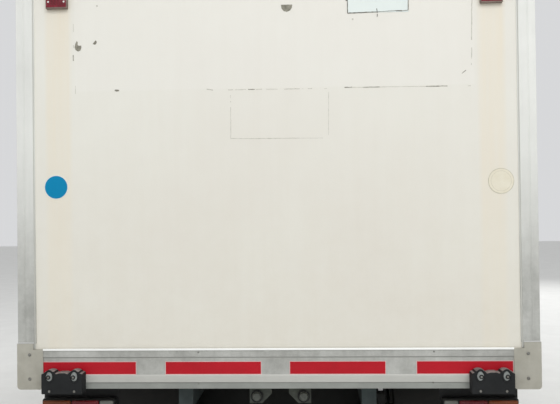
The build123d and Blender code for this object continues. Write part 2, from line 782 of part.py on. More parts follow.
def cab_interior():
    inner = cab_half - cab_wall
    back = cab_rear + cab_wall
    floor_top = cab_floor_z + cab_floor_thick
    tunnel_top = floor_top + tunnel_height
    floor = block(-inner, inner, back, floor_front, cab_floor_z, floor_top)
    for side in (-1, 1):
        floor -= block(side * (inner - cab_inner_corner), side * inner, back, back + cab_inner_corner,
                       cab_floor_z, floor_top)
    floor += block(-tunnel_half, tunnel_half, tunnel_rear, tunnel_front, floor_top, tunnel_top)
    floor -= block(-tunnel_half + tunnel_wall, tunnel_half - tunnel_wall, tunnel_rear + tunnel_wall,
                   tunnel_front - tunnel_wall, 0, tunnel_top - tunnel_wall)
    save("cab_floor", floor)

    near = rail_outer + side_gap
    far = near + pivot_arm
    arm = block(near, far, pivot_y - arm_width, pivot_y, pivot_z, cab_floor_z)
    arm += rod_x(pivot_eye, near, far, pivot_y, pivot_z)
    arm += block(near, far, arm_rear_y, pivot_y, cab_floor_z - arm_head, cab_floor_z)
    arm -= rod_x(pivot_pin + pin_gap, near - past, far + past, pivot_y, pivot_z)
    save("cab_pivot_arms", arm, other_side(arm))

    rear = back + seat_gap
    seat_top = floor_top + seat_height
    save("cab_seats", seat(-seat_x, seat_half, floor_top, rear, seat_top),
         seat(0, middle_seat_half, tunnel_top, rear, seat_top), seat(seat_x, seat_half, floor_top, rear, seat_top))

    front = cab_front - cab_wall
    shelf = front - dash_shelf
    edge = front - dash_depth
    dash = prism_x([(front, dash_bottom), (front, dash_top), (shelf, dash_top), (edge, dash_top - dash_brow),
                    (edge + seat_dish, dash_bottom + dash_brow), (shelf, dash_bottom)], -dash_half, dash_half)
    away = Vector(0, cos(radians(steering_tilt)), -sin(radians(steering_tilt)))
    plane = Plane(origin=(-seat_x, steering_y, steering_z), x_dir=(1, 0, 0), z_dir=away)
    inside = steering_radius - steering_rim
    dash += plane * (Cylinder(steering_radius, steering_thick) - Cylinder(inside, 2 * steering_thick))
    dash += plane * Box(2 * (inside + past), column_radius, steering_thick / 2)
    dash += plane * Pos(0, 0, column_length / 2) * Cylinder(column_radius, column_length)
    x0, x1, y0, y1, z0, z1 = column_box
    dash += block(x0 - seat_x, x1 - seat_x, steering_y + y0, steering_y + y1, z0, z1)
    save("cab_dashboard", dash)


# Mirrors, each on a tube with two feet on the cab's side
mirror_y = 2770
mirror_tube = 11
mirror_tube_x = cab_half + 110
mirror_feet = [1250, 1430]
mirror_inner = cab_half + 75
mirror_width = 165
mirror_bottom = 1500
mirror_top = 1880
mirror_depth = 50
mirror_behind = 15.4      # the head's back, behind the tube's middle line
mirror_corner = 30


def mirrors():
    rear = mirror_y - mirror_behind
    head = block(mirror_inner, mirror_inner + mirror_width, rear, rear + mirror_depth, mirror_bottom, mirror_top)
    head = chamfer(head.edges().filter_by(Axis.Y), mirror_corner)
    head += rod_z(mirror_tube, mirror_tube_x, mirror_y, mirror_feet[0] - mirror_tube, mirror_bottom + mirror_corner)
    for z in mirror_feet:
        head += rod_x(mirror_tube, cab_half, mirror_tube_x, mirror_y, z)
    save("mirrors", head, other_side(head))


# Front axle beam with its kingpin bosses, and the knuckles that turn in them
def front_axle():
    half = spring_width / 2
    spring_foot = rail_bottom - spring_drop - front_leaves * leaf
    beam = block(-kingpin_x + boss_radius / 2, kingpin_x - boss_radius / 2, front_axle_y - half,
                 front_axle_y + half, axle_z - boss_half, axle_z + boss_half)
    for side in (-1, 1):
        beam += rod_z(boss_radius, side * kingpin_x, front_axle_y, axle_z - boss_half, axle_z + boss_half)
        beam += block(side * front_spring_x - half, side * front_spring_x + half, front_axle_y - spring_seat,
                      front_axle_y + spring_seat, axle_z + boss_half, spring_foot)
    for side in (-1, 1):
        beam -= rod_z(kingpin_radius + pin_gap, side * kingpin_x, front_axle_y, 0, 2 * axle_z)
    save("front_axle", beam)


def knuckles():
    low = axle_z - boss_half - side_gap
    high = axle_z + boss_half + side_gap
    flange = kingpin_x + boss_radius + 2 * side_gap
    spindle_end = front_wheel_x + front_hub_outer - front_spindle_short
    knuckle = rod_z(kingpin_radius, kingpin_x, front_axle_y, low - knuckle_lug, high + knuckle_lug)
    for z in (low - knuckle_lug, high):
        knuckle += block(kingpin_x - knuckle_half, flange, front_axle_y - knuckle_half,
                         front_axle_y + knuckle_half, z, z + knuckle_lug)
    knuckle += block(flange, spindle_root, front_axle_y - knuckle_half, front_axle_y + knuckle_half,
                     low - knuckle_lug, high + knuckle_lug)
    knuckle += rod_x(front_spindle, spindle_root, spindle_end, front_axle_y, axle_z)
    arm_top = low - knuckle_lug + arm_thick
    knuckle += prism_z([(arm_end_x - tie_eye, arm_end_y), (arm_end_x + tie_eye, arm_end_y),
                        (kingpin_x + knuckle_half, front_axle_y), (kingpin_x - knuckle_half, front_axle_y)],
                       arm_top - arm_thick, arm_top)
    knuckle += rod_z(tie_eye, arm_end_x, arm_end_y, arm_top - arm_thick, arm_top)
    eye_bottom = arm_top - arm_thick - side_gap - 2 * tie_rod_radius
    knuckle += rod_z(arm_pin, arm_end_x, arm_end_y, eye_bottom - side_gap, arm_top)
    save("knuckle_right", knuckle)
    save("knuckle_left", other_side(knuckle))

    tie_z = eye_bottom + tie_rod_radius
    rod = rod_x(tie_shaft_radius, -arm_end_x, arm_end_x, arm_end_y, tie_z)
    for side in (-1, 1):
        rod += rod_z(tie_eye, side * arm_end_x, arm_end_y, tie_z - tie_rod_radius, tie_z + tie_rod_radius)
    for side in (-1, 1):
        rod -= rod_z(arm_pin + pin_gap, side * arm_end_x, arm_end_y, 0, axle_z)
    save("tie_rod", rod)


# Rear axle: banjo housing, tubes, brake plates and spindles
axle_tube = 50
banjo_radius = 150
banjo_half = 95
pinion_radius = 60
pinion_length = 210
pinion_y = rear_axle_y + pinion_length
brake_plate_x = 572
brake_plate_radius = 160


def rear_axle():
    half = spring_width / 2
    spring_foot = rail_bottom - spring_drop - rear_leaves * leaf
    axle = rod_x(axle_tube, -brake_plate_x, brake_plate_x, rear_axle_y, axle_z)
    axle += rod_y(banjo_radius, 0, rear_axle_y - banjo_half, rear_axle_y + banjo_half, axle_z)
    axle += rod_y(pinion_radius, 0, rear_axle_y, pinion_y, axle_z)
    spindle_end = twin_wheel_x + rear_hub_outer - rear_spindle_short
    for side in (-1, 1):
        axle += rod_x(rear_spindle, side * brake_plate_x, side * spindle_end, rear_axle_y, axle_z)
        axle += rod_x(brake_plate_radius, side * brake_plate_x, side * (brake_plate_x + rim_disc),
                      rear_axle_y, axle_z)
        axle += block(side * rear_spring_x - half, side * rear_spring_x + half, rear_axle_y - spring_seat,
                      rear_axle_y + spring_seat, axle_z, spring_foot)
    save("rear_axle", axle)


def leaf_springs():
    springs = []
    # Columns: spring's middle in x, axle place, half length, number of leaves
    for x, y, half_length, leaves in ((front_spring_x, front_axle_y, front_spring_half, front_leaves),
                                      (rear_spring_x, rear_axle_y, rear_spring_half, rear_leaves)):
        top = rail_bottom - spring_drop
        spring = Part()
        for i in range(leaves):
            reach = half_length + front_hanger_half - i * (half_length - spring_seat) / leaves
            spring += block(x - spring_width / 2, x + spring_width / 2, y - reach, y + reach,
                            top - (i + 1) * leaf, top - i * leaf)
        springs += [spring, other_side(spring)]
    save("leaf_springs", *springs)


# Engine and gearbox as plain blocks, resting on the rails' lower flanges
engine_half = 280
engine_rear = 1650
engine_front = 2480
engine_bottom = 520
engine_top = 1100
gearbox_half = 150
gearbox_rear = 1080
gearbox_bottom = 530
gearbox_top = 740
mount_places = [engine_rear + 120, engine_front - 200]
mount_length = 80
mount_top = 60            # above the rails' underside
shaft_radius = 36
shaft_z = 590
shaft_sink = 60           # its line starts and ends this far inside its neighbours


def drive_line():
    engine = block(-engine_half, engine_half, engine_rear, engine_front, engine_bottom, engine_top)
    engine += block(-gearbox_half, gearbox_half, gearbox_rear, engine_rear, gearbox_bottom, gearbox_top)
    for y in mount_places:
        engine += block(-web_inner, web_inner, y, y + mount_length, rail_bottom + rail_web, rail_bottom + mount_top)
    save("engine_block", engine)
    start = Vector(0, gearbox_rear + shaft_sink, shaft_z)
    end = Vector(0, pinion_y - shaft_sink, axle_z)
    along = end - start
    shaft = Plane(origin=(start + end) / 2, z_dir=along.normalized()) * Cylinder(shaft_radius, along.length)
    shaft &= block(-all_x, all_x, pinion_y, gearbox_rear, 0, box_bottom)
    save("propeller_shaft", shaft)


# Exhaust: pipe from the engine to a silencer between the rails and out ahead of the rear wheels
pipe_radius = 25
pipe_x = 230
pipe_z = 545
silencer_radius = 80
silencer_rear = -700
silencer_front = 0
hanger_half_width = 15
hanger_half_thick = 10
outlet_y = -800
outlet_x = box_half_width - 144


def exhaust():
    hanger_y = cross_members[2]
    pipe = rod_y(pipe_radius, pipe_x, outlet_y, engine_rear, pipe_z)
    pipe += rod_y(silencer_radius, pipe_x, silencer_rear, silencer_front, pipe_z)
    pipe += rod_x(pipe_radius, pipe_x, outlet_x, outlet_y, pipe_z)
    pipe += Pos(pipe_x, outlet_y, pipe_z) * Sphere(pipe_radius)
    pipe += block(pipe_x - hanger_half_width, pipe_x + hanger_half_width, hanger_y - hanger_half_thick,
                  hanger_y + hanger_half_thick, pipe_z, rail_top - cross_drop - cross_height)
    save("exhaust", pipe)


# Fuel tank on the left and battery box on the right, each on stays from the rail's web
tank_outer = box_half_width - 184
tank_inner = 450
tank_rear = -300
tank_front = 500
tank_bottom = 470
tank_top = 730
tank_round = 50
battery_outer = box_half_width - 214
battery_rear = 350
battery_front = 850
unit_stay_width = 60
unit_stay_lift = 20       # above the rails' underside
tank_stays = [tank_rear + 120, tank_front - 180]
battery_stays = [battery_rear + 60, battery_front - 120]


def side_units():
    tank = block(-tank_outer, -tank_inner, tank_rear, tank_front, tank_bottom, tank_top)
    tank = fillet(tank.edges().filter_by(Axis.Y), tank_round)
    box = block(tank_inner, battery_outer, battery_rear, battery_front, tank_bottom, tank_top)
    stay_low = rail_bottom + unit_stay_lift
    stay_high = tank_top - tank_round
    for y in tank_stays:
        tank += block(-tank_inner, -rail_outer, y, y + unit_stay_width, stay_low, stay_high)
    for y in battery_stays:
        box += block(rail_outer, tank_inner, y, y + unit_stay_width, stay_low, stay_high)
    save("fuel_tank", tank)
    save("battery_box", box)


# Rear mudguards over the twins with flaps behind, on stays from the rail's web
guard_radius = 455
guard_thick = 3
guard_inner = 580
guard_outer = box_half_width - 4
guard_front = 25          # degrees above level where the guard ends in front
flap_bottom = 230
stay_size = 24
stay_end = guard_outer - 40
stay_angles = [50, 130]   # degrees above level, from straight ahead


def rear_mudguards():
    outside = guard_radius + guard_thick
    band = rod_x(outside, guard_inner, guard_outer, rear_axle_y, axle_z)
    band -= rod_x(guard_radius, guard_inner - past, guard_outer + past, rear_axle_y, axle_z)
    band -= block(0, all_x, 2 * box_rear, box_front, -all_x, axle_z)
    low = axle_z + outside * sin(radians(guard_front))
    band -= block(0, all_x, rear_axle_y, box_front, -all_x, low)
    band += block(guard_inner, guard_outer, rear_axle_y - outside, rear_axle_y - guard_radius, flap_bottom, axle_z)
    for angle in stay_angles:
        y = rear_axle_y + (outside - past) * cos(radians(angle))
        z = axle_z + (outside - past) * sin(radians(angle))
        away = 1 if angle < 90 else -1
        band += block(rail_outer, stay_end, y, y + away * stay_size, z - stay_size, z)
    save("rear_mudguards", band, other_side(band))


# Underrun bar at the rear and side guards between the wheels
bar_half = box_half_width - 144
bar_bottom = 430
bar_height = 100
bar_depth = 60
bar_rear = frame_rear + 30
guard_x = box_half_width - 94
guard_depth = 25
guard_rear_y = -980
guard_front_y = 1230
guard_rails = [(440, 490), (640, 690)]
guard_arms = [-780, 1130]
guard_post_half = 25
guard_arm_half = 20


def guard_bars():
    bar = block(-bar_half, bar_half, bar_rear, bar_rear + bar_depth, bar_bottom, bar_bottom + bar_height)
    for side in (-1, 1):
        bar += block(side * (rail_outer - rail_flange), side * rail_outer, bar_rear, bar_rear + bar_depth,
                     bar_bottom + bar_height, rail_bottom)
    guard = Part()
    for z0, z1 in guard_rails:
        guard += block(guard_x, guard_x + guard_depth, guard_rear_y, guard_front_y, z0, z1)
    for y in guard_arms:
        guard += block(guard_x - guard_depth, guard_x, y - guard_post_half, y + guard_post_half,
                       guard_rails[0][0], guard_rails[1][1])
        guard += block(rail_outer, guard_x, y - guard_arm_half, y + guard_arm_half,
                       guard_rails[1][0], guard_rails[1][1])
    save("guard_bars", bar, guard, other_side(guard))


# Cooling unit high on the front wall, and its evaporator on the load space's ceiling
unit_half = 700
unit_front = 1630
unit_height = 400
unit_top = box_top - top_rail_height - 6
unit_bottom = unit_top - unit_height
unit_chin_depth = 60      # slope below its front face
unit_chin_height = 90
unit_lean = 40            # the front face leans back by this much at its head
unit_brow_depth = 130
unit_brow_height = 60
fan_x = unit_half / 2
fan_radius = 150
fan_depth = 90
evaporator_half = 600
evaporator_rear = 850
evaporator_bottom = 2650
evaporator_slope = 60
evaporator_head = 100     # height of its upright rear face


def cooling_unit():
    unit = prism_x([(box_front, unit_bottom), (unit_front - unit_chin_depth, unit_bottom),
                    (unit_front, unit_bottom + unit_chin_height),
                    (unit_front - unit_lean, unit_top - unit_brow_height),
                    (unit_front - unit_brow_depth, unit_top), (box_front, unit_top)], -unit_half, unit_half)
    for x in (-fan_x, fan_x):
        unit -= rod_y(fan_radius, x, unit_front - fan_depth, unit_front + past, (unit_bottom + unit_top) / 2)
    inner_front = box_front - wall
    ceiling = box_top - wall
    evaporator = prism_x([(inner_front, evaporator_bottom), (evaporator_rear + evaporator_slope, evaporator_bottom),
                          (evaporator_rear, ceiling - evaporator_head), (evaporator_rear, ceiling),
                          (inner_front, ceiling)],
                         -evaporator_half, evaporator_half)
    save("cooling_unit", unit)
    save("evaporator", evaporator)


wheels()
chassis_frame()
bumper_stays()
bumper()
box_subframe()
box_panels()
box_edges()
box_castings()
side_door()
rear_fittings()
cab()
cab_skirts()
cab_interior()
mirrors()
front_axle()
knuckles()
rear_axle()
leaf_springs()
drive_line()
exhaust()
side_units()
rear_mudguards()
guard_bars()
cooling_unit()
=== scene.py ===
import random
from math import cos, pi, radians, sin

import bmesh
import bpy
from mathutils import Matrix, Vector


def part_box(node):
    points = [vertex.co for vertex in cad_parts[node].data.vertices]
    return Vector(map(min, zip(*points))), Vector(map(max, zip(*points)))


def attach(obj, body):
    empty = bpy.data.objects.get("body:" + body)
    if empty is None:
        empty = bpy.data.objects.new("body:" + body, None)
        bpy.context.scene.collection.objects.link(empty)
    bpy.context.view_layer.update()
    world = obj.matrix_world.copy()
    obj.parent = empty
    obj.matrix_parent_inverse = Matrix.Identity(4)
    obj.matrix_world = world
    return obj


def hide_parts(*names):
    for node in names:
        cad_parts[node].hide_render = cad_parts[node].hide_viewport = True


# Refrigerated truck, seen from behind. Metres, X to the vehicle's right, Y forward, Z up.
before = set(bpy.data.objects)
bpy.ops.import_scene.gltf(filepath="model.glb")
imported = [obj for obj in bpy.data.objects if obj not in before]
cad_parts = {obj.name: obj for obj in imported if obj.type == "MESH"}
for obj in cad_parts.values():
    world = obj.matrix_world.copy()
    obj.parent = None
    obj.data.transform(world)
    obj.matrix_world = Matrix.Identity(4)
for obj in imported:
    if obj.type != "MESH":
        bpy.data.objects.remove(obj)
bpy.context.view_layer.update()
print("frame loaded")


# Colours are given as they show on a screen, from 0 to 255
def linear(*color):
    channels = []
    for value in color:
        level = value / 255
        channels.append(level / 12.92 if level < 0.04045 else ((level + 0.055) / 1.055) ** 2.4)
    return channels + [1.0]


# Shader nodes. Each helper returns the socket that the next one takes, addNode the node itself
def addNode(tree, kind, links=(), **values):
    node = tree.nodes.new("ShaderNode" + kind)
    for name, value in values.items():
        setattr(node, name, value)
    for socket, source in links:
        if hasattr(source, "is_linked"):
            tree.links.new(source, node.inputs[socket])
        else:
            node.inputs[socket].default_value = source
    return node


def addPlace(tree):
    return addNode(tree, "TexCoord").outputs["Object"]


def addMath(tree, operation, *sources, clamp=False):
    return addNode(tree, "Math", list(enumerate(sources)), operation=operation, use_clamp=clamp).outputs[0]


def addProduct(tree, *sources):
    product = sources[0]
    for source in sources[1:]:
        product = addMath(tree, "MULTIPLY", product, source)
    return product


def addRamp(tree, high, low, length, clamp=True):
    # How far one value lies above another, as a share of a length
    return addMath(tree, "DIVIDE", addMath(tree, "SUBTRACT", high, low), length, clamp=clamp)


def addLine(tree, value, slope, start, clamp=True):
    return addMath(tree, "MULTIPLY_ADD", value, slope, start, clamp=clamp)


def addMix(tree, factor, first, second):
    return addNode(tree, "Mix", [(0, factor), (6, first), (7, second)], data_type="RGBA").outputs[2]


def addNoise(tree, vector, scale, detail=4.0, roughness=0.6):
    inputs = [("Vector", vector), ("Scale", scale), ("Detail", detail), ("Roughness", roughness)]
    return addNode(tree, "TexNoise", inputs).outputs["Fac"]


def addStretched(tree, vector, scale):
    return addNode(tree, "VectorMath", [(0, vector), (1, scale)], operation="MULTIPLY").outputs[0]


def addBump(tree, height, strength, distance):
    inputs = [("Height", height), ("Strength", strength), ("Distance", distance)]
    return addNode(tree, "Bump", inputs).outputs["Normal"]


# The finish that all materials share: two tones, road dirt from below, vertical streaks, worn gloss and a
# fine grain. A pair is the slope and start of a line through a noise's value
finish = {
    "tone": (2.6, -0.8), "spots": (2.4, -0.75), "lines": (2.2, -0.8), "patches": (0.4, 0.5),
    "lineShare": 0.12, "stretch": (14.0, 14.0, 0.9), "streakScale": 2.0, "streakDetail": 5.0,
    "blotchScale": 9.0, "blotchDetail": 6.0, "blotchRough": 0.7, "middle": 0.5, "wear": 0.35,
    "grainDetail": 3.0, "bump": 0.002,
}
finishColors = ("Color", "Shade", "Dirt")
finishValues = ("Scale", "Height", "Depth", "Amount", "Roughness", "Spread", "Grain", "Relief")
finishResults = {"Color": "Color", "Roughness": "Float", "Normal": "Vector"}


def buildFinish():
    group = bpy.data.node_groups.new("surface", "ShaderNodeTree")
    kinds = {**dict.fromkeys(finishColors, "Color"), **dict.fromkeys(finishValues, "Float")}
    for sockets, way in ((kinds, "INPUT"), (finishResults, "OUTPUT")):
        for name, kind in sockets.items():
            group.interface.new_socket(name=name, in_out=way, socket_type="NodeSocket" + kind)
    given = group.nodes.new("NodeGroupInput").outputs
    leave = group.nodes.new("NodeGroupOutput").inputs
    place = addPlace(group)
    tone = addLine(group, addNoise(group, place, given["Scale"]), *finish["tone"])
    toned = addMix(group, tone, given["Color"], given["Shade"])
    height = addNode(group, "SeparateXYZ", [(0, place)]).outputs["Z"]
    below = addRamp(group, given["Height"], height, given["Depth"])
    stretched = addStretched(group, place, finish["stretch"])
    streaks = addNoise(group, stretched, finish["streakScale"], finish["streakDetail"])
    blotches = addNoise(group, place, finish["blotchScale"], finish["blotchDetail"], finish["blotchRough"])
    blotted = addLine(group, blotches, *finish["spots"])
    lines = addLine(group, streaks, *finish["lines"])
    patchy = addProduct(group, below, addLine(group, blotted, *finish["patches"], clamp=False))
    streaky = addLine(group, lines, finish["lineShare"], patchy, clamp=False)
    covering = addMath(group, "MULTIPLY", streaky, given["Amount"], clamp=True)
    group.links.new(addMix(group, covering, toned, given["Dirt"]), leave["Color"])
    uneven = addMath(group, "SUBTRACT", blotches, finish["middle"])
    varied = addLine(group, uneven, given["Spread"], given["Roughness"], clamp=False)
    group.links.new(addLine(group, covering, finish["wear"], varied), leave["Roughness"])
    grain = addNoise(group, place, given["Grain"], finish["grainDetail"])
    group.links.new(addBump(group, grain, given["Relief"], finish["bump"]), leave["Normal"])
    return group


finishGroup = buildFinish()


# A look: its two tones and its roughness, then what differs from these values. Dirt rises to height, fading
# over depth; metal, coat, clear and shine go to the shader
lookDefaults = {
    "scale": 3.0, "dirt": (120, 112, 98), "height": 1.0, "depth": 0.8, "amount": 0.35, "spread": 0.2,
    "grain": 600.0, "relief": 0.15, "metal": 0.0, "coat": 0.0, "clear": 0.0, "shine": 0.5,
}


def look(color, shade, roughness, **others):
    return {**lookDefaults, "color": color, "shade": shade, "roughness": roughness, **others}


looks = {
    # Box
    "wallPanel": look((229, 228, 219), (225, 222, 213), 0.45, scale=1.1, dirt=(206, 198, 180), height=2.1,
                      depth=1.5, amount=0.62, spread=0.12, grain=240.0, relief=0.12, shine=0.4),
    "edgeMetal": look((229, 230, 225), (222, 223, 218), 0.45, metal=0.15, height=1.8, depth=0.6, amount=0.85,
                      scale=6.0, grain=900.0, dirt=(122, 122, 116)),
    # Lighter copy of the rail's metal on the band under the tape: a painted highlight
    "railHighlight": look((190, 190, 184), (180, 180, 174), 0.4, metal=0.15, scale=6.0,
                       dirt=(150, 148, 140)),
    "railFoot": look((152, 155, 150), (136, 139, 134), 0.5, metal=0.15, scale=8.0,
                     dirt=(112, 110, 102)),
    # Lighter copy of the rail's metal on its lip: a painted highlight
    "lipHighlight": look((244, 245, 242), (236, 237, 233), 0.35, metal=0.1, amount=0.1),
    "beadMetal": look((226, 227, 225), (210, 211, 209), 0.3, metal=0.5, amount=0.2),
    "jointShadow": look((196, 196, 189), (186, 186, 179), 0.6, shine=0.2),
    "grooveShadow": look((154, 155, 150), (134, 135, 130), 0.7, shine=0.2),
    "castingPaint": look((180, 178, 167), (163, 161, 149), 0.62, scale=14.0, height=1.12, depth=0.4,
                         amount=0.5, relief=0.5, grain=260.0),
    "reflectiveTape": look((192, 24, 41), (178, 20, 36), 0.45, scale=9.0, coat=0.05, height=1.2, amount=0.12,
                           shine=0.12),
    # Pale pink halo round the tape: a painted highlight
    "tapeHalo": look((222, 186, 184), (214, 176, 174), 0.4, scale=40.0, amount=0.2),
    "unitPlastic": look((224, 226, 223), (212, 213, 209), 0.4, relief=0.2, grain=900.0),
    # Marks, signs and small metal on the rear wall
    "glueDark": look((114, 112, 100), (160, 157, 144), 0.8, scale=60.0, relief=0.6, shine=0.2),
    "glueFaint": look((178, 175, 164), (206, 203, 193), 0.8, scale=60.0, shine=0.2),
    "plateWhite": look((226, 234, 230), (219, 227, 224), 0.45, scale=8.0, amount=0.1, shine=0.3),
    "signBlue": look((0, 134, 180), (0, 124, 168), 0.45, amount=0.1, shine=0.15),
    "signWhite": look((226, 228, 224), (212, 214, 208), 0.4, amount=0.1),
    "signPale": look((229, 224, 206), (222, 215, 194), 0.5, scale=30.0, amount=0.1),
    "signLine": look((206, 201, 182), (184, 178, 158), 0.5, scale=60.0, amount=0.1),
    "screwSteel": look((140, 141, 137), (96, 92, 84), 0.45, scale=80.0, metal=0.5),
    "screwWhite": look((232, 232, 228), (216, 216, 212), 0.4, amount=0.1),
    "washerSteel": look((152, 157, 155), (112, 116, 114), 0.45, scale=90.0, metal=0.3),
    # Rubber and lamps
    "bufferRubber": look((22, 25, 27), (34, 36, 38), 0.7, scale=12.0, relief=0.6, grain=420.0,
                         dirt=(70, 68, 62), amount=0.25, height=1.2, shine=0.2),
    # Pale top of the buffers' dip: part dust, part painted sheen
    "dustAndSheenRubber": look((150, 140, 136), (110, 104, 100), 0.8, scale=30.0, relief=0.5, shine=0.2),
    "sealRubber": look((20, 21, 22), (28, 29, 30), 0.66, amount=0.1, shine=0.25),
    "tyreRubber": look((27, 27, 28), (39, 39, 38), 0.8, scale=10.0, height=0.85, amount=0.4,
                       dirt=(88, 83, 74), relief=0.5, grain=500.0, shine=0.25),
    "bezelPlastic": look((136, 120, 111), (110, 94, 86), 0.55, scale=30.0, shine=0.3),
    "markerLens": look((136, 40, 54), (110, 26, 40), 0.25, scale=60.0, coat=0.2, amount=0.3,
                       dirt=(96, 66, 60), shine=0.3),
    "darkLens": look((74, 8, 16), (58, 6, 12), 0.3, coat=0.2, shine=0.3),
    "redLens": look((112, 14, 24), (84, 10, 18), 0.25, coat=0.2, amount=0.3, dirt=(84, 62, 54), shine=0.3),
    "amberLens": look((124, 60, 20), (106, 50, 18), 0.25, coat=0.2, amount=0.45, dirt=(96, 76, 60),
                      shine=0.3),
    "clearLens": look((112, 114, 109), (98, 100, 95), 0.2, coat=0.2, amount=0.4, dirt=(104, 100, 90),
                      shine=0.3),
    "lampGlass": look((238, 242, 243), (232, 236, 238), 0.02, spread=0.01, clear=0.92, amount=0.03,
                      relief=0.0),
    "dustyGlass": look((82, 86, 81), (64, 68, 64), 0.35, scale=60.0, coat=0.1, shine=0.3),
    # Chassis and wheels
    "framePaint": look((24, 27, 28), (34, 36, 36), 0.65, scale=7.0, height=0.95, amount=0.4,
                       dirt=(72, 68, 61), relief=0.4, grain=300.0, shine=0.25),
    "subframePaint": look((60, 70, 71), (44, 52, 53), 0.65, scale=12.0, shine=0.25, amount=0.3,
                          dirt=(76, 74, 68)),
    "blackPaint": look((20, 22, 24), (30, 31, 32), 0.55, height=0.9, amount=0.4, dirt=(76, 71, 63),
                       shine=0.25),
    "galvanised": look((98, 106, 108), (76, 84, 86), 0.55, scale=16.0, metal=0.3, height=0.9, amount=0.4,
                       dirt=(96, 90, 80), shine=0.35),
    "dustyMetal": look((74, 81, 76), (50, 56, 53), 0.6, scale=40.0, metal=0.2, height=1.1, amount=0.4,
                       shine=0.3),
    "wheelPaint": look((190, 192, 192), (174, 176, 176), 0.38, metal=0.35, height=0.9, amount=0.5),
    "tankMetal": look((176, 178, 178), (158, 160, 160), 0.34, metal=0.7, height=0.9, amount=0.45),
    "exhaustMetal": look((104, 84, 70), (70, 60, 53), 0.7, scale=18.0, metal=0.4, relief=0.6, grain=260.0),
    "engineIron": look((64, 64, 62), (46, 46, 46), 0.62, scale=9.0, metal=0.3, amount=0.5, relief=0.6,
                       grain=300.0),
    "brightSteel": look((196, 198, 199), (176, 178, 179), 0.3, metal=0.85, amount=0.2),
    # Cab and floor
    "cabPaint": look((228, 229, 226), (220, 221, 218), 0.22, spread=0.08, coat=0.5, height=1.3, amount=0.3,
                     relief=0.03, grain=900.0),
    "bumperPaint": look((56, 58, 61), (66, 68, 70), 0.55, height=0.9, amount=0.4, relief=0.4, grain=1400.0,
                        shine=0.35),
    "trimPlastic": look((32, 33, 35), (41, 42, 44), 0.62, relief=0.5, grain=1500.0, amount=0.15, shine=0.3),
    "seatCloth": look((60, 63, 70), (50, 52, 58), 0.9, scale=20.0, amount=0.1, relief=0.0),
    "cabGlass": look((206, 216, 214), (200, 211, 209), 0.03, spread=0.02, clear=0.9, amount=0.0, relief=0.0),
    "mirrorGlass": look((210, 214, 216), (204, 208, 210), 0.04, metal=1.0, spread=0.02, amount=0.05),
    "floorPale": look((222, 222, 219), (216, 216, 213), 0.8, amount=0.0, relief=0.0),
}


# Sockets of the shader that take one number of the look
shaderNumbers = {
    "Metallic": "metal", "Coat Weight": "coat", "Transmission Weight": "clear", "Specular IOR Level": "shine",
}
coatRoughness = 0.08


def addFinish(tree, values):
    node = tree.nodes.new("ShaderNodeGroup")
    node.node_tree = finishGroup
    for name in finishColors:
        node.inputs[name].default_value = linear(*values[name.lower()])
    for name in finishValues:
        node.inputs[name].default_value = values[name.lower()]
    return node.outputs


def makeMaterial(name, values):
    material = bpy.data.materials.new(name)
    material.use_nodes = True
    tree, shader = openMaterial(material)
    surface = addFinish(tree, values)
    for result, socket in (("Color", "Base Color"), ("Roughness", "Roughness"), ("Normal", "Normal")):
        tree.links.new(surface[result], shader[socket])
    for socket, number in shaderNumbers.items():
        shader[socket].default_value = values[number]
    shader["Coat Roughness"].default_value = coatRoughness
    return material


def openMaterial(material):
    # The node tree and the shader's sockets
    return material.node_tree, material.node_tree.nodes["Principled BSDF"].inputs


materials = {name: makeMaterial(name, values) for name, values in looks.items()}

# Wall panels: rust-brown runs under the marker lamps, and a little cleaner where the large sheet was glued on
stain = {
    "x": 0.876, "half": 0.06, "soft": 0.02, "top": 2.42, "length": 1.4, "fade": -0.6,
    "stretch": (30.0, 1.0, 1.2), "scale": 1.6, "runs": (0.9, 0.2), "color": (229, 216, 190), "amount": 0.6,
}
sheet = {"half": 0.812, "foot": 2.085, "soft": 0.008, "color": (233, 231, 225), "amount": 0.25}
rearOnly = -2.85


def stainPanels():
    tree, shader = openMaterial(materials["wallPanel"])
    plain = shader["Base Color"].links[0].from_socket
    place = addPlace(tree)
    axes = addNode(tree, "SeparateXYZ", [(0, place)]).outputs
    off = addMath(tree, "ABSOLUTE", axes["X"])
    behind = addMath(tree, "LESS_THAN", axes["Y"], rearOnly)
    within = addRamp(tree, sheet["half"], off, sheet["soft"])
    above = addRamp(tree, axes["Z"], sheet["foot"], sheet["soft"])
    clean = addProduct(tree, within, above, behind, sheet["amount"])
    cleaner = addMix(tree, clean, plain, linear(*sheet["color"]))
    aside = addMath(tree, "ABSOLUTE", addMath(tree, "SUBTRACT", off, stain["x"]))
    near = addRamp(tree, stain["half"], aside, stain["soft"])
    drop = addRamp(tree, stain["top"], axes["Z"], stain["length"], clamp=False)
    fade = addLine(tree, drop, stain["fade"], 1.0)
    runs = addNoise(tree, addStretched(tree, place, stain["stretch"]), stain["scale"])
    rust = addProduct(tree, near, fade, behind, addLine(tree, runs, *stain["runs"]), stain["amount"])
    tree.links.new(addMix(tree, rust, cleaner, linear(*stain["color"])), shader["Base Color"])


# Reflective tape: a fine honeycomb of cells under a glossy film
tapeCell = {"size": 0.0045, "uneven": 0.25, "width": 0.14, "color": (150, 14, 30), "amount": 0.45}


def cellTape():
    tree, shader = openMaterial(materials["reflectiveTape"])
    plain = shader["Base Color"].links[0].from_socket
    inputs = [("Vector", addPlace(tree)), ("Scale", 1 / tapeCell["size"]), ("Randomness", tapeCell["uneven"])]
    cells = addNode(tree, "TexVoronoi", inputs, feature="DISTANCE_TO_EDGE")
    border = addMath(tree, "LESS_THAN", cells.outputs["Distance"], tapeCell["width"])
    celled = addMix(tree, addProduct(tree, border, tapeCell["amount"]), plain, linear(*tapeCell["color"]))
    tree.links.new(celled, shader["Base Color"])


# Seat cloth: a woven twill with a slight sheen. A wave of scale 1 repeats every pi / 10 m
seatWeave = {"size": 0.004, "wave": pi / 10, "uneven": 0.6, "relief": 0.5, "bump": 0.001, "sheen": 0.25}


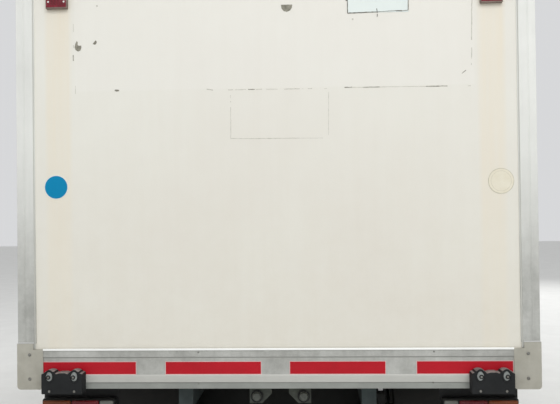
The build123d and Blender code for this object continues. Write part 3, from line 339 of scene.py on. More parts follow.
def weaveSeats():
    tree, shader = openMaterial(materials["seatCloth"])
    scale = seatWeave["wave"] / seatWeave["size"]
    inputs = [("Vector", addPlace(tree)), ("Scale", scale), ("Distortion", seatWeave["uneven"])]
    threads = [addNode(tree, "TexWave", inputs, bands_direction=way).outputs["Fac"] for way in ("X", "Z")]
    bump = addBump(tree, addProduct(tree, *threads), seatWeave["relief"], seatWeave["bump"])
    tree.links.new(bump, shader["Normal"])
    shader["Sheen Weight"].default_value = seatWeave["sheen"]


stainPanels()
cellTape()
weaveSeats()
print("materials made")

# Which material each slot of the record gets on the carried-over nodes
slotMaterials = {
    "panel": "wallPanel", "aluminium_edge": "edgeMetal", "casting": "castingPaint",
    "buffer_rubber": "bufferRubber", "lens": "redLens", "black_steel": "blackPaint",
    "frame_steel": "framePaint", "grey_steel": "galvanised", "tyre_rubber": "tyreRubber",
    "wheel_steel": "wheelPaint", "cab_paint": "cabPaint", "bumper_paint": "bumperPaint",
    "headlamp_glass": "lampGlass", "window_glass": "cabGlass", "trim_plastic": "trimPlastic",
    "seat_fabric": "seatCloth", "mirror_plastic": "trimPlastic", "unit_plastic": "unitPlastic",
    "tank_metal": "tankMetal", "exhaust_metal": "exhaustMetal", "bright_steel": "brightSteel",
    "engine_iron": "engineIron",
}
# Nodes whose look differs from that of their slot
nodeMaterials = {"box_subframe": "subframePaint"}
# Edges sharper than this many degrees stay sharp on the nodes and on the pieces
sharp = {"node": 30.0, "piece": 32.0, "tread": 40.0, "seat": 60.0}


def dressNodes():
    for name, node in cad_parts.items():
        for place in node.material_slots:
            slot = place.material.name.split(".")[0]
            place.material = materials[nodeMaterials.get(name, slotMaterials[slot])]
        node.data.shade_smooth()
        node.data.set_sharp_from_angle(angle=radians(sharp["node"]))


dressNodes()
print("nodes dressed")


# Mesh helpers. Each adds to a bmesh; bevelFrom is the least angle of a bevelled edge, in radians
bevelFrom = 0.5


def ofKind(items, kind):
    return [item for item in items if isinstance(item, kind)]


def polar(radius, angle):
    return radius * cos(angle), radius * sin(angle)


def finishShape(bm, corners, bevel, segments, material):
    faces = list(dict.fromkeys(face for corner in corners for face in corner.link_faces))
    for face in faces:
        face.material_index = material
    if bevel:
        edges = [edge for face in faces for edge in face.edges if edge.calc_face_angle(0) > bevelFrom]
        bmesh.ops.bevel(bm, geom=list(dict.fromkeys(edges)), offset=bevel, segments=segments, profile=0.5,
                        affect="EDGES", material=-1)


def addBox(bm, low, high, bevel=0.0, segments=2, material=0):
    # Between two opposite corners, whichever comes first
    low = Vector(low)
    high = Vector(high)
    size = [abs(length) for length in high - low]
    place = Matrix.Translation((low + high) / 2) @ Matrix.Diagonal((*size, 1.0))
    finishShape(bm, bmesh.ops.create_cube(bm, size=1.0, matrix=place)["verts"], bevel, segments, material)


def addBoxes(bm, rows, place=(0, 0, 0)):
    # Columns: first and last x, y and z from the place, bevel, its segments, material
    place = Vector(place)
    for x0, x1, y0, y1, z0, z1, *form in rows:
        addBox(bm, place + Vector((x0, y0, z0)), place + Vector((x1, y1, z1)), *form)


def onSide(rows, side):
    # Boxes given for the right side, as they lie on the side of this sign
    return [(side * x0, side * x1, *form) for x0, x1, *form in rows]


def addCylinder(bm, start, end, radius, steps=32, endRadius=None, bevel=0.0, segments=2, material=0):
    start = Vector(start)
    end = Vector(end)
    along = end - start
    place = Matrix.Translation((start + end) / 2) @ along.to_track_quat("Z", "Y").to_matrix().to_4x4()
    last = radius if endRadius is None else endRadius
    rims = bmesh.ops.create_cone(bm, cap_ends=True, segments=steps, radius1=radius, radius2=last,
                                 depth=along.length, matrix=place)["verts"]
    finishShape(bm, rims, bevel, segments, material)


def addPrism(bm, outline, travel, bevel=0.0, segments=2, material=0):
    corners = [bm.verts.new(point) for point in outline]
    moved = bmesh.ops.extrude_face_region(bm, geom=[bm.faces.new(corners)])["geom"]
    ends = ofKind(moved, bmesh.types.BMVert)
    bmesh.ops.translate(bm, vec=travel, verts=ends)
    finishShape(bm, corners + ends, bevel, segments, material)


def addLathe(bm, profile, centre, axis, steps=64, material=0):
    # The profile's points are (distance along the axis, radius)
    axis = Vector(axis).normalized()
    aside = axis.orthogonal().normalized()
    centre = Vector(centre)
    rings = [bm.verts.new(centre + axis * along + aside * radius) for along, radius in profile]
    edges = [bm.edges.new(pair) for pair in zip(rings, rings[1:])]
    before = set(bm.faces)
    bmesh.ops.spin(bm, geom=rings + edges, cent=centre, axis=axis, angle=2 * pi, steps=steps, use_merge=True)
    faces = [face for face in bm.faces if face not in before]
    for face in faces:
        face.material_index = material
    return faces


def bridge(bm, first, second):
    # Faces between two closed rows of corners
    faces = []
    for i in range(len(first)):
        after = (i + 1) % len(first)
        faces.append(bm.faces.new((first[i], first[after], second[after], second[i])))
    return faces


# Heads of screws and rivets, radius and height. A head narrows to a share of its radius, with a rounded edge
heads = {
    "casting": (0.007, 0.003), "rail": (0.004, 0.0032), "lens": (0.0042, 0.0012), "hinge": (0.006, 0.003),
    "box": (0.004, 0.0018),
}
head = {"steps": 20, "narrow": 0.8, "round": 0.15}
# A bolt's hexagon on its washer, as shares of its radius and height
bolt = {"washer": 1.5, "washerHeight": 0.25, "washerRound": 0.06, "round": 0.1, "steps": 24, "sides": 6}


def addScrew(bm, centre, out, kind, material=0):
    # A pan head
    radius, height = heads[kind]
    centre = Vector(centre)
    addCylinder(bm, centre, centre + Vector(out) * height, radius, head["steps"], radius * head["narrow"],
                radius * head["round"], 2, material)


def addBolt(bm, centre, out, radius, height, material=0):
    centre = Vector(centre)
    out = Vector(out)
    foot = centre + out * height * bolt["washerHeight"]
    washer = radius * bolt["washer"]
    addCylinder(bm, centre, foot, washer, bolt["steps"], None, height * bolt["washerRound"], 1, material)
    addCylinder(bm, foot, centre + out * height, radius, bolt["sides"], None, height * bolt["round"], 1,
                material)


def bothSides(bm):
    # Adds the mirror image across the vehicle's middle plane
    copied = bmesh.ops.duplicate(bm, geom=bm.verts[:] + bm.edges[:] + bm.faces[:])["geom"]
    bmesh.ops.scale(bm, vec=(-1.0, 1.0, 1.0), verts=ofKind(copied, bmesh.types.BMVert))
    bmesh.ops.reverse_faces(bm, faces=ofKind(copied, bmesh.types.BMFace))


def finishPiece(bm, name, names, body, hides=(), angle=sharp["piece"], normals=True):
    if normals:
        bmesh.ops.recalc_face_normals(bm, faces=bm.faces)
    mesh = bpy.data.meshes.new(name)
    bm.to_mesh(mesh)
    bm.free()
    for material in names:
        mesh.materials.append(materials[material])
    mesh.shade_smooth()
    mesh.set_sharp_from_angle(angle=radians(angle))
    piece = bpy.data.objects.new(name, mesh)
    bpy.context.scene.collection.objects.link(piece)
    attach(piece, body)
    if hides:
        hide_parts(*hides)
    return piece


# Rear wall
wallLow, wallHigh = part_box("box_wall_rear")
edgeLow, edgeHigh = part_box("box_edges")
wallFace = wallLow.y
halfWidth = wallHigh.x
boxTop = edgeHigh.z
railProud = 0.006
railHeight = 0.161
railFace = wallFace - railProud
railTop = edgeLow.z + railHeight
postSkin = 0.004
postTop = boxTop - postSkin
rear = Vector((0, -1, 0))
ahead = Vector((0, 1, 0))

# Traces of two sheets that were once glued on: what is left of their outlines, in mm on the wall.
# Columns: x and z of one end, x and z of the other, width, 0 dark or 1 faint
strokes = [
    (-812, 2366, -812, 2333, 2.5, 1), (-812, 2280, -812, 2268, 3, 1), (-813, 2239, -813, 2215, 4, 0),
    (-805, 2112, -805, 2079, 3, 1), (-266, 2089, -240, 2084, 4, 1), (-179, 2084, -159, 2084, 3, 1),
    (-151, 2084, -106, 2084, 3.5, 1), (-98, 2084, -70, 2084, 4, 0), (-66, 2084, -41, 2084, 3.5, 1),
    (-25, 2084, 21, 2083, 3.5, 1), (48, 2083, 112, 2083, 3.5, 1), (120, 2083, 126, 2083, 3, 1),
    (144, 2083, 161, 2083, 3.5, 1), (209, 2082, 221, 2082, 2.5, 1), (291, 2085, 321, 2085, 4.5, 0),
    (321, 2085, 361, 2084, 2.5, 1), (363, 2084, 433, 2084, 4.5, 0), (433, 2084, 513, 2084, 2.5, 1),
    (513, 2084, 616, 2083, 2, 1), (616, 2083, 701, 2083, 4.5, 0), (782, 2082, 792, 2082, 3, 1),
    (803, 2470, 799, 2265, 4.5, 1), (799, 2235, 798, 2190, 3.5, 1), (797, 2173, 797, 2165, 3, 1),
    (759, 2132, 775, 2145, 3, 0), (-169, 2063, -169, 2051, 2.5, 1), (-169, 2039, -169, 2033, 2.5, 1),
    (-169, 2014, -170, 1962, 2, 1), (-169, 1962, -170, 1885, 3, 1), (-170, 1887, -72, 1885, 2.5, 1),
    (-72, 1885, 110, 1884, 3.5, 1), (110, 1884, 202, 1883, 2, 1), (227, 2068, 225, 1895, 2, 1),
]
# Marks of glue as outlines, x and z in mm, and small spots of the same glue, fainter
blots = [
    [(-798, 2296), (-804, 2284), (-807, 2270), (-803, 2259), (-793, 2253), (-783, 2257), (-779, 2268),
     (-780, 2277), (-789, 2276), (-795, 2280), (-794, 2291)],
    [(-720, 2297), (-716, 2293), (-715, 2287), (-722, 2279), (-732, 2282), (-727, 2289)],
    [(39, 2424), (85, 2424), (83, 2411), (75, 2400), (62, 2395), (49, 2399), (41, 2410)],
    [(-642, 2094), (-626, 2093), (-624, 2088), (-636, 2086), (-643, 2089)],
]
spots = [
    [(-716, 2441), (-710, 2440), (-710, 2435), (-716, 2434)],
    [(324, 2362), (330, 2362), (330, 2356), (324, 2356)],
]
trace = {"sunk": 0.001, "thick": 0.0004, "step": 0.009, "ragged": 0.65, "seed": 11}


def addMark(bm, outline, thick, material):
    # A thin mark on the wall, from x and z of its corners
    points = [(x, wallFace + trace["sunk"], z) for x, z in outline]
    addPrism(bm, points, rear * (trace["sunk"] + thick), material=material)


def addStroke(bm, dice, ends, width, material):
    x0, z0, x1, z1 = (value / 1000 for value in ends)
    along = Vector((x1 - x0, z1 - z0))
    aside = along.orthogonal().normalized() * width / 2000
    count = max(2, int(along.length / trace["step"]))
    sides = []
    for sign in (1, -1):
        side = []
        for i in range(count + 1):
            share = dice.uniform(1 - trace["ragged"], 1)
            side.append(Vector((x0, z0)) + along * i / count + aside * sign * share)
        sides.append(side)
    addMark(bm, sides[0] + sides[1][::-1], trace["thick"], material)


def buildTraces():
    dice = random.Random(trace["seed"])
    bm = bmesh.new()
    for *ends, width, tone in strokes:
        addStroke(bm, dice, ends, width, tone)
    for tone, outlines in enumerate((blots, spots)):
        for outline in outlines:
            addMark(bm, [(x / 1000, z / 1000) for x, z in outline], 2 * trace["thick"], tone)
    finishPiece(bm, "glue_marks", ["glueDark", "glueFaint"], "chassis")


# A blank plate high on the wall, and its sealant pressed out at the edge
plate = {"x": (0.307, 0.55), "z": (2.384, 2.541), "thick": 0.0015, "bevel": 0.0004}
# Columns: x and z of one end, x and z of the other, width, in mm
plateSeal = [
    (307, 2541, 307, 2384, 4), (307, 2384, 425, 2386, 4.5), (425, 2386, 500, 2389, 3),
    (500, 2389, 525, 2388, 5), (525, 2388, 549, 2390, 2.5), (549, 2390, 552, 2541, 4.5),
    (425, 2366, 426, 2378, 4), (426, 2383, 424, 2400, 4.5), (303, 2434, 304, 2445, 8),
]


def buildPlate():
    dice = random.Random(trace["seed"])
    bm = bmesh.new()
    (x0, x1), (z0, z1) = plate["x"], plate["z"]
    addBox(bm, (x0, wallFace - plate["thick"], z0), (x1, wallFace, z1), plate["bevel"], 1)
    for *ends, width in plateSeal:
        addStroke(bm, dice, ends, width, 1)
        addStroke(bm, dice, ends, width / 2, 1)
    seal = [corner for corner in bm.verts if corner.link_faces[0].material_index]
    bmesh.ops.translate(bm, vec=rear * plate["thick"], verts=seal)
    finishPiece(bm, "blank_plate", ["plateWhite", "glueDark"], "chassis")


# Two round stickers, both blank. Columns: name, x, z, radius, width of the rim, a printed circle, looks
stickers = [
    ("sticker_blue", -0.888, 1.699, 0.049, 0.0025, None, ["signWhite", "signBlue"]),
    ("sticker_pale", 0.907, 1.701, 0.0512, 0.0026, 0.0405, ["signLine", "signPale"]),
]
sticker = {"thick": 0.0012, "round": 0.0004, "line": 0.0011, "lineProud": 0.0014, "steps": 72}


def buildStickers():
    thick = sticker["thick"]
    for name, x, z, radius, rim, circle, names in stickers:
        border = [(0.0, radius), (thick, radius - sticker["round"]), (thick, radius - rim)]
        shapes = [(border, 0), ([border[-1], (thick, 0.0)], 1)]
        if circle:
            out = sticker["lineProud"]
            shapes.append(([(out, circle), (out, circle - sticker["line"])], 0))
        bm = bmesh.new()
        for profile, material in shapes:
            addLathe(bm, profile, (x, wallFace, z), rear, sticker["steps"], material)
        finishPiece(bm, name, names, "chassis", normals=False)


# Corner posts: an extrusion with two flat bands, a shallow groove between them, a joint at the wall and a cap
# at the foot, a bright strip that paints the highlight on the casting's top edge. Columns: first and last x,
# foot and top, how proud of the skin, bevel, material
postBands = [
    (1.0195, 1.049, railTop, postTop, 0.0025, 0.0008, 0),
    (0.981, 1.0155, railTop, postTop, 0.0025, 0.0008, 0), (1.0155, 1.0195, railTop, postTop, 0.002, 0.0, 0),
    (0.977, 0.981, railTop, postTop, 0.0006, 0.0, 2), (0.983, 1.05, 1.0635, 1.0675, 0.0055, 0.0008, 1),
]


def buildPosts():
    for name, y, out in (("rear", wallFace, -1), ("front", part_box("box_wall_front")[1].y, 1)):
        bm = bmesh.new()
        skin = y + out * postSkin
        for x0, x1, foot, top, proud, bevel, material in postBands:
            addBox(bm, (x0, skin, foot), (x1, skin + out * proud, top), bevel, 1, material)
        bothSides(bm)
        names = ["edgeMetal", "beadMetal", "jointShadow"]
        finishPiece(bm, f"posts_{name}", names, "chassis")


# Bottom rail's relief, between the castings: painted highlights on its lip and on the band under the tape,
# painted shadow lines under the ridges and a darker copy of the metal on its foot. Each shape: material, then
# how proud of the rail's face, z
railShapes = [
    (0, [(-0.001, 1.0418), (0.0044, 1.0415), (0.0056, 1.0395), (0.0056, 1.0345), (0.001, 1.0335),
         (-0.001, 1.0335)]),
    (1, [(-0.001, 1.0335), (0.0006, 1.0335), (0.0028, 1.0125), (0.0028, 1.0078), (-0.001, 1.0068)]),
    (2, [(-0.001, 1.0068), (0.0004, 1.0068), (0.0004, 1.0035), (-0.001, 1.0035)]),
    (3, [(-0.001, 0.9365), (0.0002, 0.9362), (0.0014, 0.9335), (0.0021, 0.929), (0.0024, 0.922),
         (0.0026, 0.912), (0.0026, 0.9062), (-0.001, 0.9052)]),
    (2, [(-0.001, 0.9052), (0.0004, 0.9052), (0.0004, 0.9022), (-0.001, 0.9022)]),
    (4, [(-0.001, 0.9022), (0.0022, 0.9022), (0.0006, 0.8835), (0.0006, 0.8805), (-0.001, 0.8805)]),
]
railEnds = {"x": 0.945, "gap": 0.104}


def buildRail():
    reliefs = {"rear": bmesh.new(), "sides": bmesh.new()}
    first = edgeLow.y + railEnds["gap"]
    length = edgeHigh.y - railEnds["gap"] - first
    for material, shape in railShapes:
        outline = [(-railEnds["x"], railFace - proud, z) for proud, z in shape]
        addPrism(reliefs["rear"], outline, (2 * railEnds["x"], 0, 0), material=material)
        outline = [(halfWidth + railProud + proud, first, z) for proud, z in shape]
        addPrism(reliefs["sides"], outline, (0, length, 0), material=material)
    bothSides(reliefs["sides"])
    for name, bm in reliefs.items():
        # The lip and the band under the tape take lighter copies of the metal, painted highlights
        names = ["lipHighlight", "edgeMetal", "grooveShadow", "railHighlight", "railFoot"]
        finishPiece(bm, f"rail_relief_{name}", names, "chassis")


# Bottom rail's red tape with a pale pink halo round it, a painted highlight
tape = {"low": 0.9385, "high": 0.9875, "bevel": 0.0002}
# Columns: how far a layer reaches past the tape, and past its foot, thickness, material
tapeLayers = [(0.002, 0.003, 0.0005, 1), (0.0, 0.0, 0.0008, 0)]
# Columns: first and last x of each piece
tapePieces = [(-0.947, -0.565), (-0.443, -0.058), (0.059, 0.439), (0.564, 0.941)]
sideTape = {"first": -2.7, "length": 0.38, "pitch": 0.5, "count": 7}


def addTape(bm, face, out, along, first, last):
    # One strip of tape on the face at this distance along the axis "out", running on the axis "along"
    for grow, foot, thick, material in tapeLayers:
        ends = {out: (face, face + thick if face > 0 else face - thick), along: (first - grow, last + grow),
                2: (tape["low"] - foot, tape["high"] + grow)}
        low, high = zip(*(ends[axis] for axis in range(3)))
        addBox(bm, low, high, tape["bevel"], 1, material)


def buildTape():
    bm = bmesh.new()
    for x0, x1 in tapePieces:
        addTape(bm, railFace, 1, 0, x0, x1)
    for i in range(sideTape["count"]):
        y = sideTape["first"] + i * sideTape["pitch"]
        for side in (-1, 1):
            addTape(bm, side * (halfWidth + railProud), 0, 1, y, y + sideTape["length"])
    finishPiece(bm, "rail_tape", ["reflectiveTape", "tapeHalo"], "chassis")


# Screws in the castings, and x and z of four rivets in the rail
castingScrews = {"x": 1.0, "heights": (1.018, 0.92)}
railRivets = [(-0.31, 1.026), (0.632, 1.026), (-0.31, 0.9), (0.627, 0.904)]


def buildRailScrews():
    bm = bmesh.new()
    low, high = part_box("box_castings")
    for y, out in ((low.y, rear), (high.y, ahead)):
        for z in castingScrews["heights"]:
            addScrew(bm, (castingScrews["x"], y, z), out, "casting")
    bothSides(bm)
    for x, z in railRivets:
        addScrew(bm, (x, railFace, z), rear, "rail")
    finishPiece(bm, "rear_screws", ["screwSteel"], "chassis")


# Rubber buffers: a block with two ears over the wells of its bolts, a dip between them whose upward faces are
# pale, part dust and part painted sheen, and small bolts below. An ear is an arc of so many steps, its angles
# in degrees
buffer = {
    "x": (0.769, 0.936), "foot": 0.869, "dip": 0.954, "dipHalf": 0.012, "shoulder": 0.95, "dustAndSheenUp": 0.8,
    "depth": 0.053, "bevel": 0.004, "wellX": (0.802, 0.903), "wellZ": 0.94, "tall": 1.4, "boltZ": 0.881,
    "rimSteps": 40, "washerSteps": 36, "holeSteps": 28, "boltSteps": 24,
}
ear = {"radius": 0.024, "wide": 1.15, "first": 165, "sweep": 150, "steps": 8}
# Profiles of a well, its bolt and the bolt below. Columns: distance out of the face, radius
wellRim = [(0.0, 0.0195), (0.0028, 0.0175), (0.0028, 0.0151), (-0.0004, 0.0145), (-0.0004, 0.0)]
wellWasher = [(0.0, 0.013), (0.0012, 0.012), (0.0012, 0.0)]
wellHole = [(0.0012, 0.00899), (0.0022, 0.00812), (0.0022, 0.00522), (0.0014, 0.00435), (0.0014, 0.0)]
wellBolt = {"place": Vector((0.003625, 0, -0.0029)), "radius": 0.00464, "height": 0.0034}
lowRim = [(0.0, 0.0085), (0.0016, 0.0075), (0.0016, 0.006), (0.0, 0.0055)]
lowBolt = [(0.0008, 0.0052), (0.0014, 0.0045), (0.0014, 0.0)]


def bufferOutline():
    left, right = buffer["x"]
    middle = sum(buffer["wellX"]) / 2
    ears = []
    for x in buffer["wellX"]:
        points = []
        for i in range(ear["steps"] + 1):
            aside, up = polar(ear["radius"], radians(ear["first"] - ear["sweep"] * i / ear["steps"]))
            points.append((x + aside * ear["wide"], max(buffer["wellZ"] + up, buffer["shoulder"])))
        ears.append(points)
    ears[0][0] = (left, ears[0][0][1])
    ears[1][-1] = (right, ears[1][-1][1])
    dip = [(middle + aside, buffer["dip"]) for aside in (-buffer["dipHalf"], buffer["dipHalf"])]
    return [(left, buffer["foot"]), *ears[0], *dip, *ears[1], (right, buffer["foot"])]


def addWell(bm, centre):
    # A tall recess: a raised rubber rim, a bright steel washer low inside it and the bolt in its dark hole
    faces = addLathe(bm, wellRim, centre, rear, buffer["rimSteps"], 0)
    faces += addLathe(bm, wellWasher, centre, rear, buffer["washerSteps"], 1)
    corners = list({corner for face in faces for corner in face.verts})
    bmesh.ops.scale(bm, vec=(1, 1, buffer["tall"]), space=Matrix.Translation(-centre), verts=corners)
    inside = centre + wellBolt["place"]
    addLathe(bm, wellHole, inside, rear, buffer["holeSteps"], 0)
    end = inside + rear * wellBolt["height"]
    addCylinder(bm, inside, end, wellBolt["radius"], bolt["sides"], material=2)


def buildBuffers():
    bm = bmesh.new()
    outline = [(x, railFace, z) for x, z in bufferOutline()]
    addPrism(bm, outline, rear * buffer["depth"], buffer["bevel"], 3, 0)
    bm.normal_update()
    for face in bm.faces:
        # Upward faces of the dip take the pale rubber: part dust, part painted sheen
        if abs(face.normal.z) > buffer["dustAndSheenUp"] and face.calc_center_median().z > buffer["shoulder"]:
            face.material_index = 3
    for x in buffer["wellX"]:
        addWell(bm, Vector((x, railFace - buffer["depth"], buffer["wellZ"])))
        centre = (x, railFace - buffer["depth"], buffer["boltZ"])
        for profile, material in ((lowRim, 0), (lowBolt, 2)):
            addLathe(bm, profile, centre, rear, buffer["boltSteps"], material)
    bothSides(bm)
    names = ["bufferRubber", "washerSteel", "screwSteel", "dustAndSheenRubber"]
    finishPiece(bm, "rear_buffer_blocks", names, "chassis", hides=["rear_buffers"])


# Marker lamps: a deep bezel almost filled by a dark red lens with upright ribs and two white screws. Boxes as
# for addBoxes, from the middle of the bezel's face
marker = {
    "depth": 0.02, "screw": 0.032, "screwOut": 0.0015, "screwDown": 0.004, "pitch": 0.006,
    "ribs": range(-5, 6),
}
markerBoxes = [
    (-0.044, 0.044, 0.0, 0.02, -0.031, 0.031, 0.002, 2, 0),
    (-0.041, 0.041, -0.0015, 0.002, -0.0255, 0.0255, 0.0012, 2, 1),
]
markerRib = [(-0.0011, 0.0011, -0.0023, 0.0, -0.0175, 0.0175, 0.0005, 1, 3)]
# Columns: x and z of the middle
markerPlaces = [(0.876, 2.44), (-0.876, 2.457)]


def buildMarkers():
    bm = bmesh.new()
    for x, z in markerPlaces:
        place = Vector((x, wallFace - marker["depth"], z))
        addBoxes(bm, markerBoxes, place)
        for i in marker["ribs"]:
            addBoxes(bm, markerRib, place + Vector((i * marker["pitch"], 0, 0)))
        for side in (-1, 1):
            spot = (side * marker["screw"], -marker["screwOut"], -marker["screwDown"])
            addScrew(bm, place + Vector(spot), rear, "lens", 2)
    names = ["bezelPlastic", "markerLens", "screwWhite", "darkLens"]
    finishPiece(bm, "marker_lamp_bodies", names, "chassis", hides=["marker_lamps"])


# Tail lamps: black housing with a clear, a red and an amber lens. Boxes as for addBoxes, from the lens face
tailFace = -2.85
tailHousing = [(0.681, 0.991, 0.012, 0.06, 0.712, 0.812, 0.008, 3, 0)]
# Columns: first and last x, material, number of ribs; then y, z, bevel and segments of a lens and a rib
tailLenses = [(0.686, 0.743, 2, 5), (0.747, 0.862, 1, 11), (0.866, 0.986, 3, 12)]
lensForm = (0.0, 0.014, 0.717, 0.807, 0.006, 3)
ribForm = (-0.0008, 0.001, 0.726, 0.798, 0.0006, 1)
rib = {"pitch": 0.009, "first": 0.9, "wide": 0.004}
# Plate lamps on the two trapezoid brackets: profiles of the housing and the glass, distance out and radius
plateLamp = {
    "middle": 0.014, "x": 0.097, "y": -2.85, "z": 0.827, "radius": 0.025, "behind": 0.006, "steps": 40,
}
plateShell = [(0.0, 0.025), (0.006, 0.025), (0.006, 0.02)]
plateGlass = [(0.006, 0.02), (0.018, 0.015), (0.018, 0.0)]
# The dusty skin of the brackets, x from the middle of the two and z
skinOutline = [(0.036, 0.836), (0.075, 0.797), (0.127, 0.797), (0.127, 0.874), (0.036, 0.874)]
bracketSkin = {"y": -2.844, "thick": 0.0012, "bevel": 0.0004}


def buildTailLamps():
    bm = bmesh.new()
    addBoxes(bm, tailHousing, (0, tailFace, 0))
    for x0, x1, material, ribs in tailLenses:
        addBoxes(bm, [(x0, x1, *lensForm, material)], (0, tailFace, 0))
        for i in range(ribs):
            x = x0 + rib["pitch"] * (i + rib["first"])
            addBoxes(bm, [(x, x + rib["wide"], *ribForm, material)], (0, tailFace, 0))
    bothSides(bm)
    for side in (-1, 1):
        base = Vector((plateLamp["middle"] + side * plateLamp["x"], plateLamp["y"], plateLamp["z"]))
        for profile, material in ((plateShell, 0), (plateGlass, 4)):
            addLathe(bm, profile, base, rear, plateLamp["steps"], material)
        addCylinder(bm, base, base + ahead * plateLamp["behind"], plateLamp["radius"], plateLamp["steps"])
    names = ["blackPaint", "redLens", "clearLens", "amberLens", "dustyGlass"]
    finishPiece(bm, "tail_lamp_bodies", names, "chassis", hides=["tail_lamps"])


def buildBracketSkins():
    bm = bmesh.new()
    for side in (-1, 1):
        points = [(plateLamp["middle"] + side * x, bracketSkin["y"], z) for x, z in skinOutline]
        addPrism(bm, points, rear * bracketSkin["thick"], bracketSkin["bevel"], 1)
    finishPiece(bm, "bracket_skins", ["dustyMetal"], "chassis")


buildTraces()
buildPlate()
buildStickers()
buildPosts()
buildRail()
buildTape()
buildRailScrews()
buildBuffers()
buildMarkers()
buildTailLamps()
buildBracketSkins()
print("rear face built")


# Tyres: tread ribs with grooves, shoulder blocks and a moulded side wall
tyre = {
    "radius": 0.4025, "steps": 96, "grooves": (-0.055, -0.0185, 0.0185, 0.055), "blocks": 54,
    "blockShare": 0.62,
}
# Columns: distance from a groove's middle, depth below the tread
tyreGroove = [(-0.0063, 0.0005), (-0.00315, 0.009), (0.00315, 0.009), (0.0063, 0.0005)]
# Columns: distance from the tyre's middle, radius. The wall goes from the bead to the tread's edge
sideWall = [
    (0.086, 0.204), (0.093, 0.209), (0.096, 0.222), (0.1, 0.236), (0.1015, 0.24), (0.1015, 0.246),
    (0.104, 0.262), (0.106, 0.3), (0.105, 0.34), (0.1035, 0.352), (0.1045, 0.3535), (0.1045, 0.3565),
    (0.1025, 0.358), (0.099, 0.378), (0.094, 0.391), (0.087, 0.3985),
]
shoulderBlock = [(0.07, 0.403), (0.0925, 0.3947), (0.098, 0.3802), (0.0925, 0.3772), (0.07, 0.3912)]


def addTyre(bm, centre):
    crown = []
    for middle in tyre["grooves"]:
        crown += [(middle + across, tyre["radius"] - depth) for across, depth in tyreGroove]
    profile = [(-along, radius) for along, radius in sideWall] + crown + sideWall[::-1]
    addLathe(bm, profile, centre, (1, 0, 0), tyre["steps"])
    half = pi / tyre["blocks"] * tyre["blockShare"]
    for i in range(tyre["blocks"]):
        turn = 2 * pi * i / tyre["blocks"]
        for side in (-1, 1):
            rows = []
            for angle in (turn - half, turn + half):
                points = [Vector((side * along, *polar(radius, angle))) for along, radius in shoulderBlock]
                rows.append([bm.verts.new(centre + point) for point in points])
            bridge(bm, *rows)
            bm.faces.new(rows[0][::-1])
            bm.faces.new(rows[1])


# Wheel discs with hand holes. Columns of a dish: radius, distance along the axis
frontDish = [(0.06, 0.066), (0.095, 0.07), (0.12, 0.062), (0.172, 0.08), (0.198, 0.06)]
rearDish = [(0.06, -0.09656), (0.095, -0.09656), (0.12, -0.10856), (0.175, -0.07856), (0.198, -0.07456)]
disc = {
    "inner": 0.05, "outer": 0.198, "holes": 10, "holeAt": 0.148, "holeRadius": 0.0165, "around": 36,
    "thick": 0.007, "merge": 0.0002, "nuts": 6, "nutAt": 0.086, "nut": 0.0125, "nutHeight": 0.02,
    "stud": 0.00625, "studHeight": 0.028, "studSteps": 12, "barrelSteps": 72, "hubSteps": 48,
}


def dishAt(dish, radius):
    for (r0, a0), (r1, a1) in zip(dish, dish[1:]):
        if radius <= r1:
            share = max(0.0, (radius - r0) / (r1 - r0))
            return a0 + (a1 - a0) * share * share * (3 - 2 * share)
    return dish[-1][1]


def sectorOutline(half):
    # Corners of one sector of the disc, walked evenly: (radius, angle)
    ends = [(disc["inner"], -half), (disc["inner"], half), (disc["outer"], half), (disc["outer"], -half)]
    count = disc["around"] // len(ends)
    points = []
    for (r0, a0), (r1, a1) in zip(ends, ends[1:] + ends[:1]):
        points += [(r0 + (r1 - r0) * i / count, a0 + (a1 - a0) * i / count) for i in range(count)]
    return points


def addDisc(bm, centre, side, dish):
    half = pi / disc["holes"]
    outline = [Vector(polar(radius, angle)) for radius, angle in sectorOutline(half)]
    middle = Vector((disc["holeAt"], 0))
    hole = [middle + (point - middle).normalized() * disc["holeRadius"] for point in outline]
    between = [(outer + inner * 2) / 3 for outer, inner in zip(outline, hole)]
    faces = []
    corners = []
    for k in range(disc["holes"]):
        turn = Matrix.Rotation(2 * half * k, 2)
        rows = []
        for loop in (outline, between, hole):
            flat = [turn @ point for point in loop]
            places = [centre + Vector((side * dishAt(dish, point.length), *point)) for point in flat]
            rows.append([bm.verts.new(place) for place in places])
            corners += rows[-1]
        faces += bridge(bm, rows[0], rows[1]) + bridge(bm, rows[1], rows[2])
    bmesh.ops.remove_doubles(bm, verts=corners, dist=disc["merge"])
    raised = bmesh.ops.extrude_face_region(bm, geom=[face for face in faces if face.is_valid])["geom"]
    back = ofKind(raised, bmesh.types.BMVert)
    bmesh.ops.translate(bm, vec=(-side * disc["thick"], 0, 0), verts=back)


def addNuts(bm, centre, side, along):
    out = Vector((side, 0, 0))
    for i in range(disc["nuts"]):
        place = centre + Vector((side * along, *polar(disc["nutAt"], 2 * pi * (i + 0.5) / disc["nuts"])))
        addBolt(bm, place, out, disc["nut"], disc["nutHeight"], 2)
        addCylinder(bm, place, place + out * disc["studHeight"], disc["stud"], disc["studSteps"], material=2)


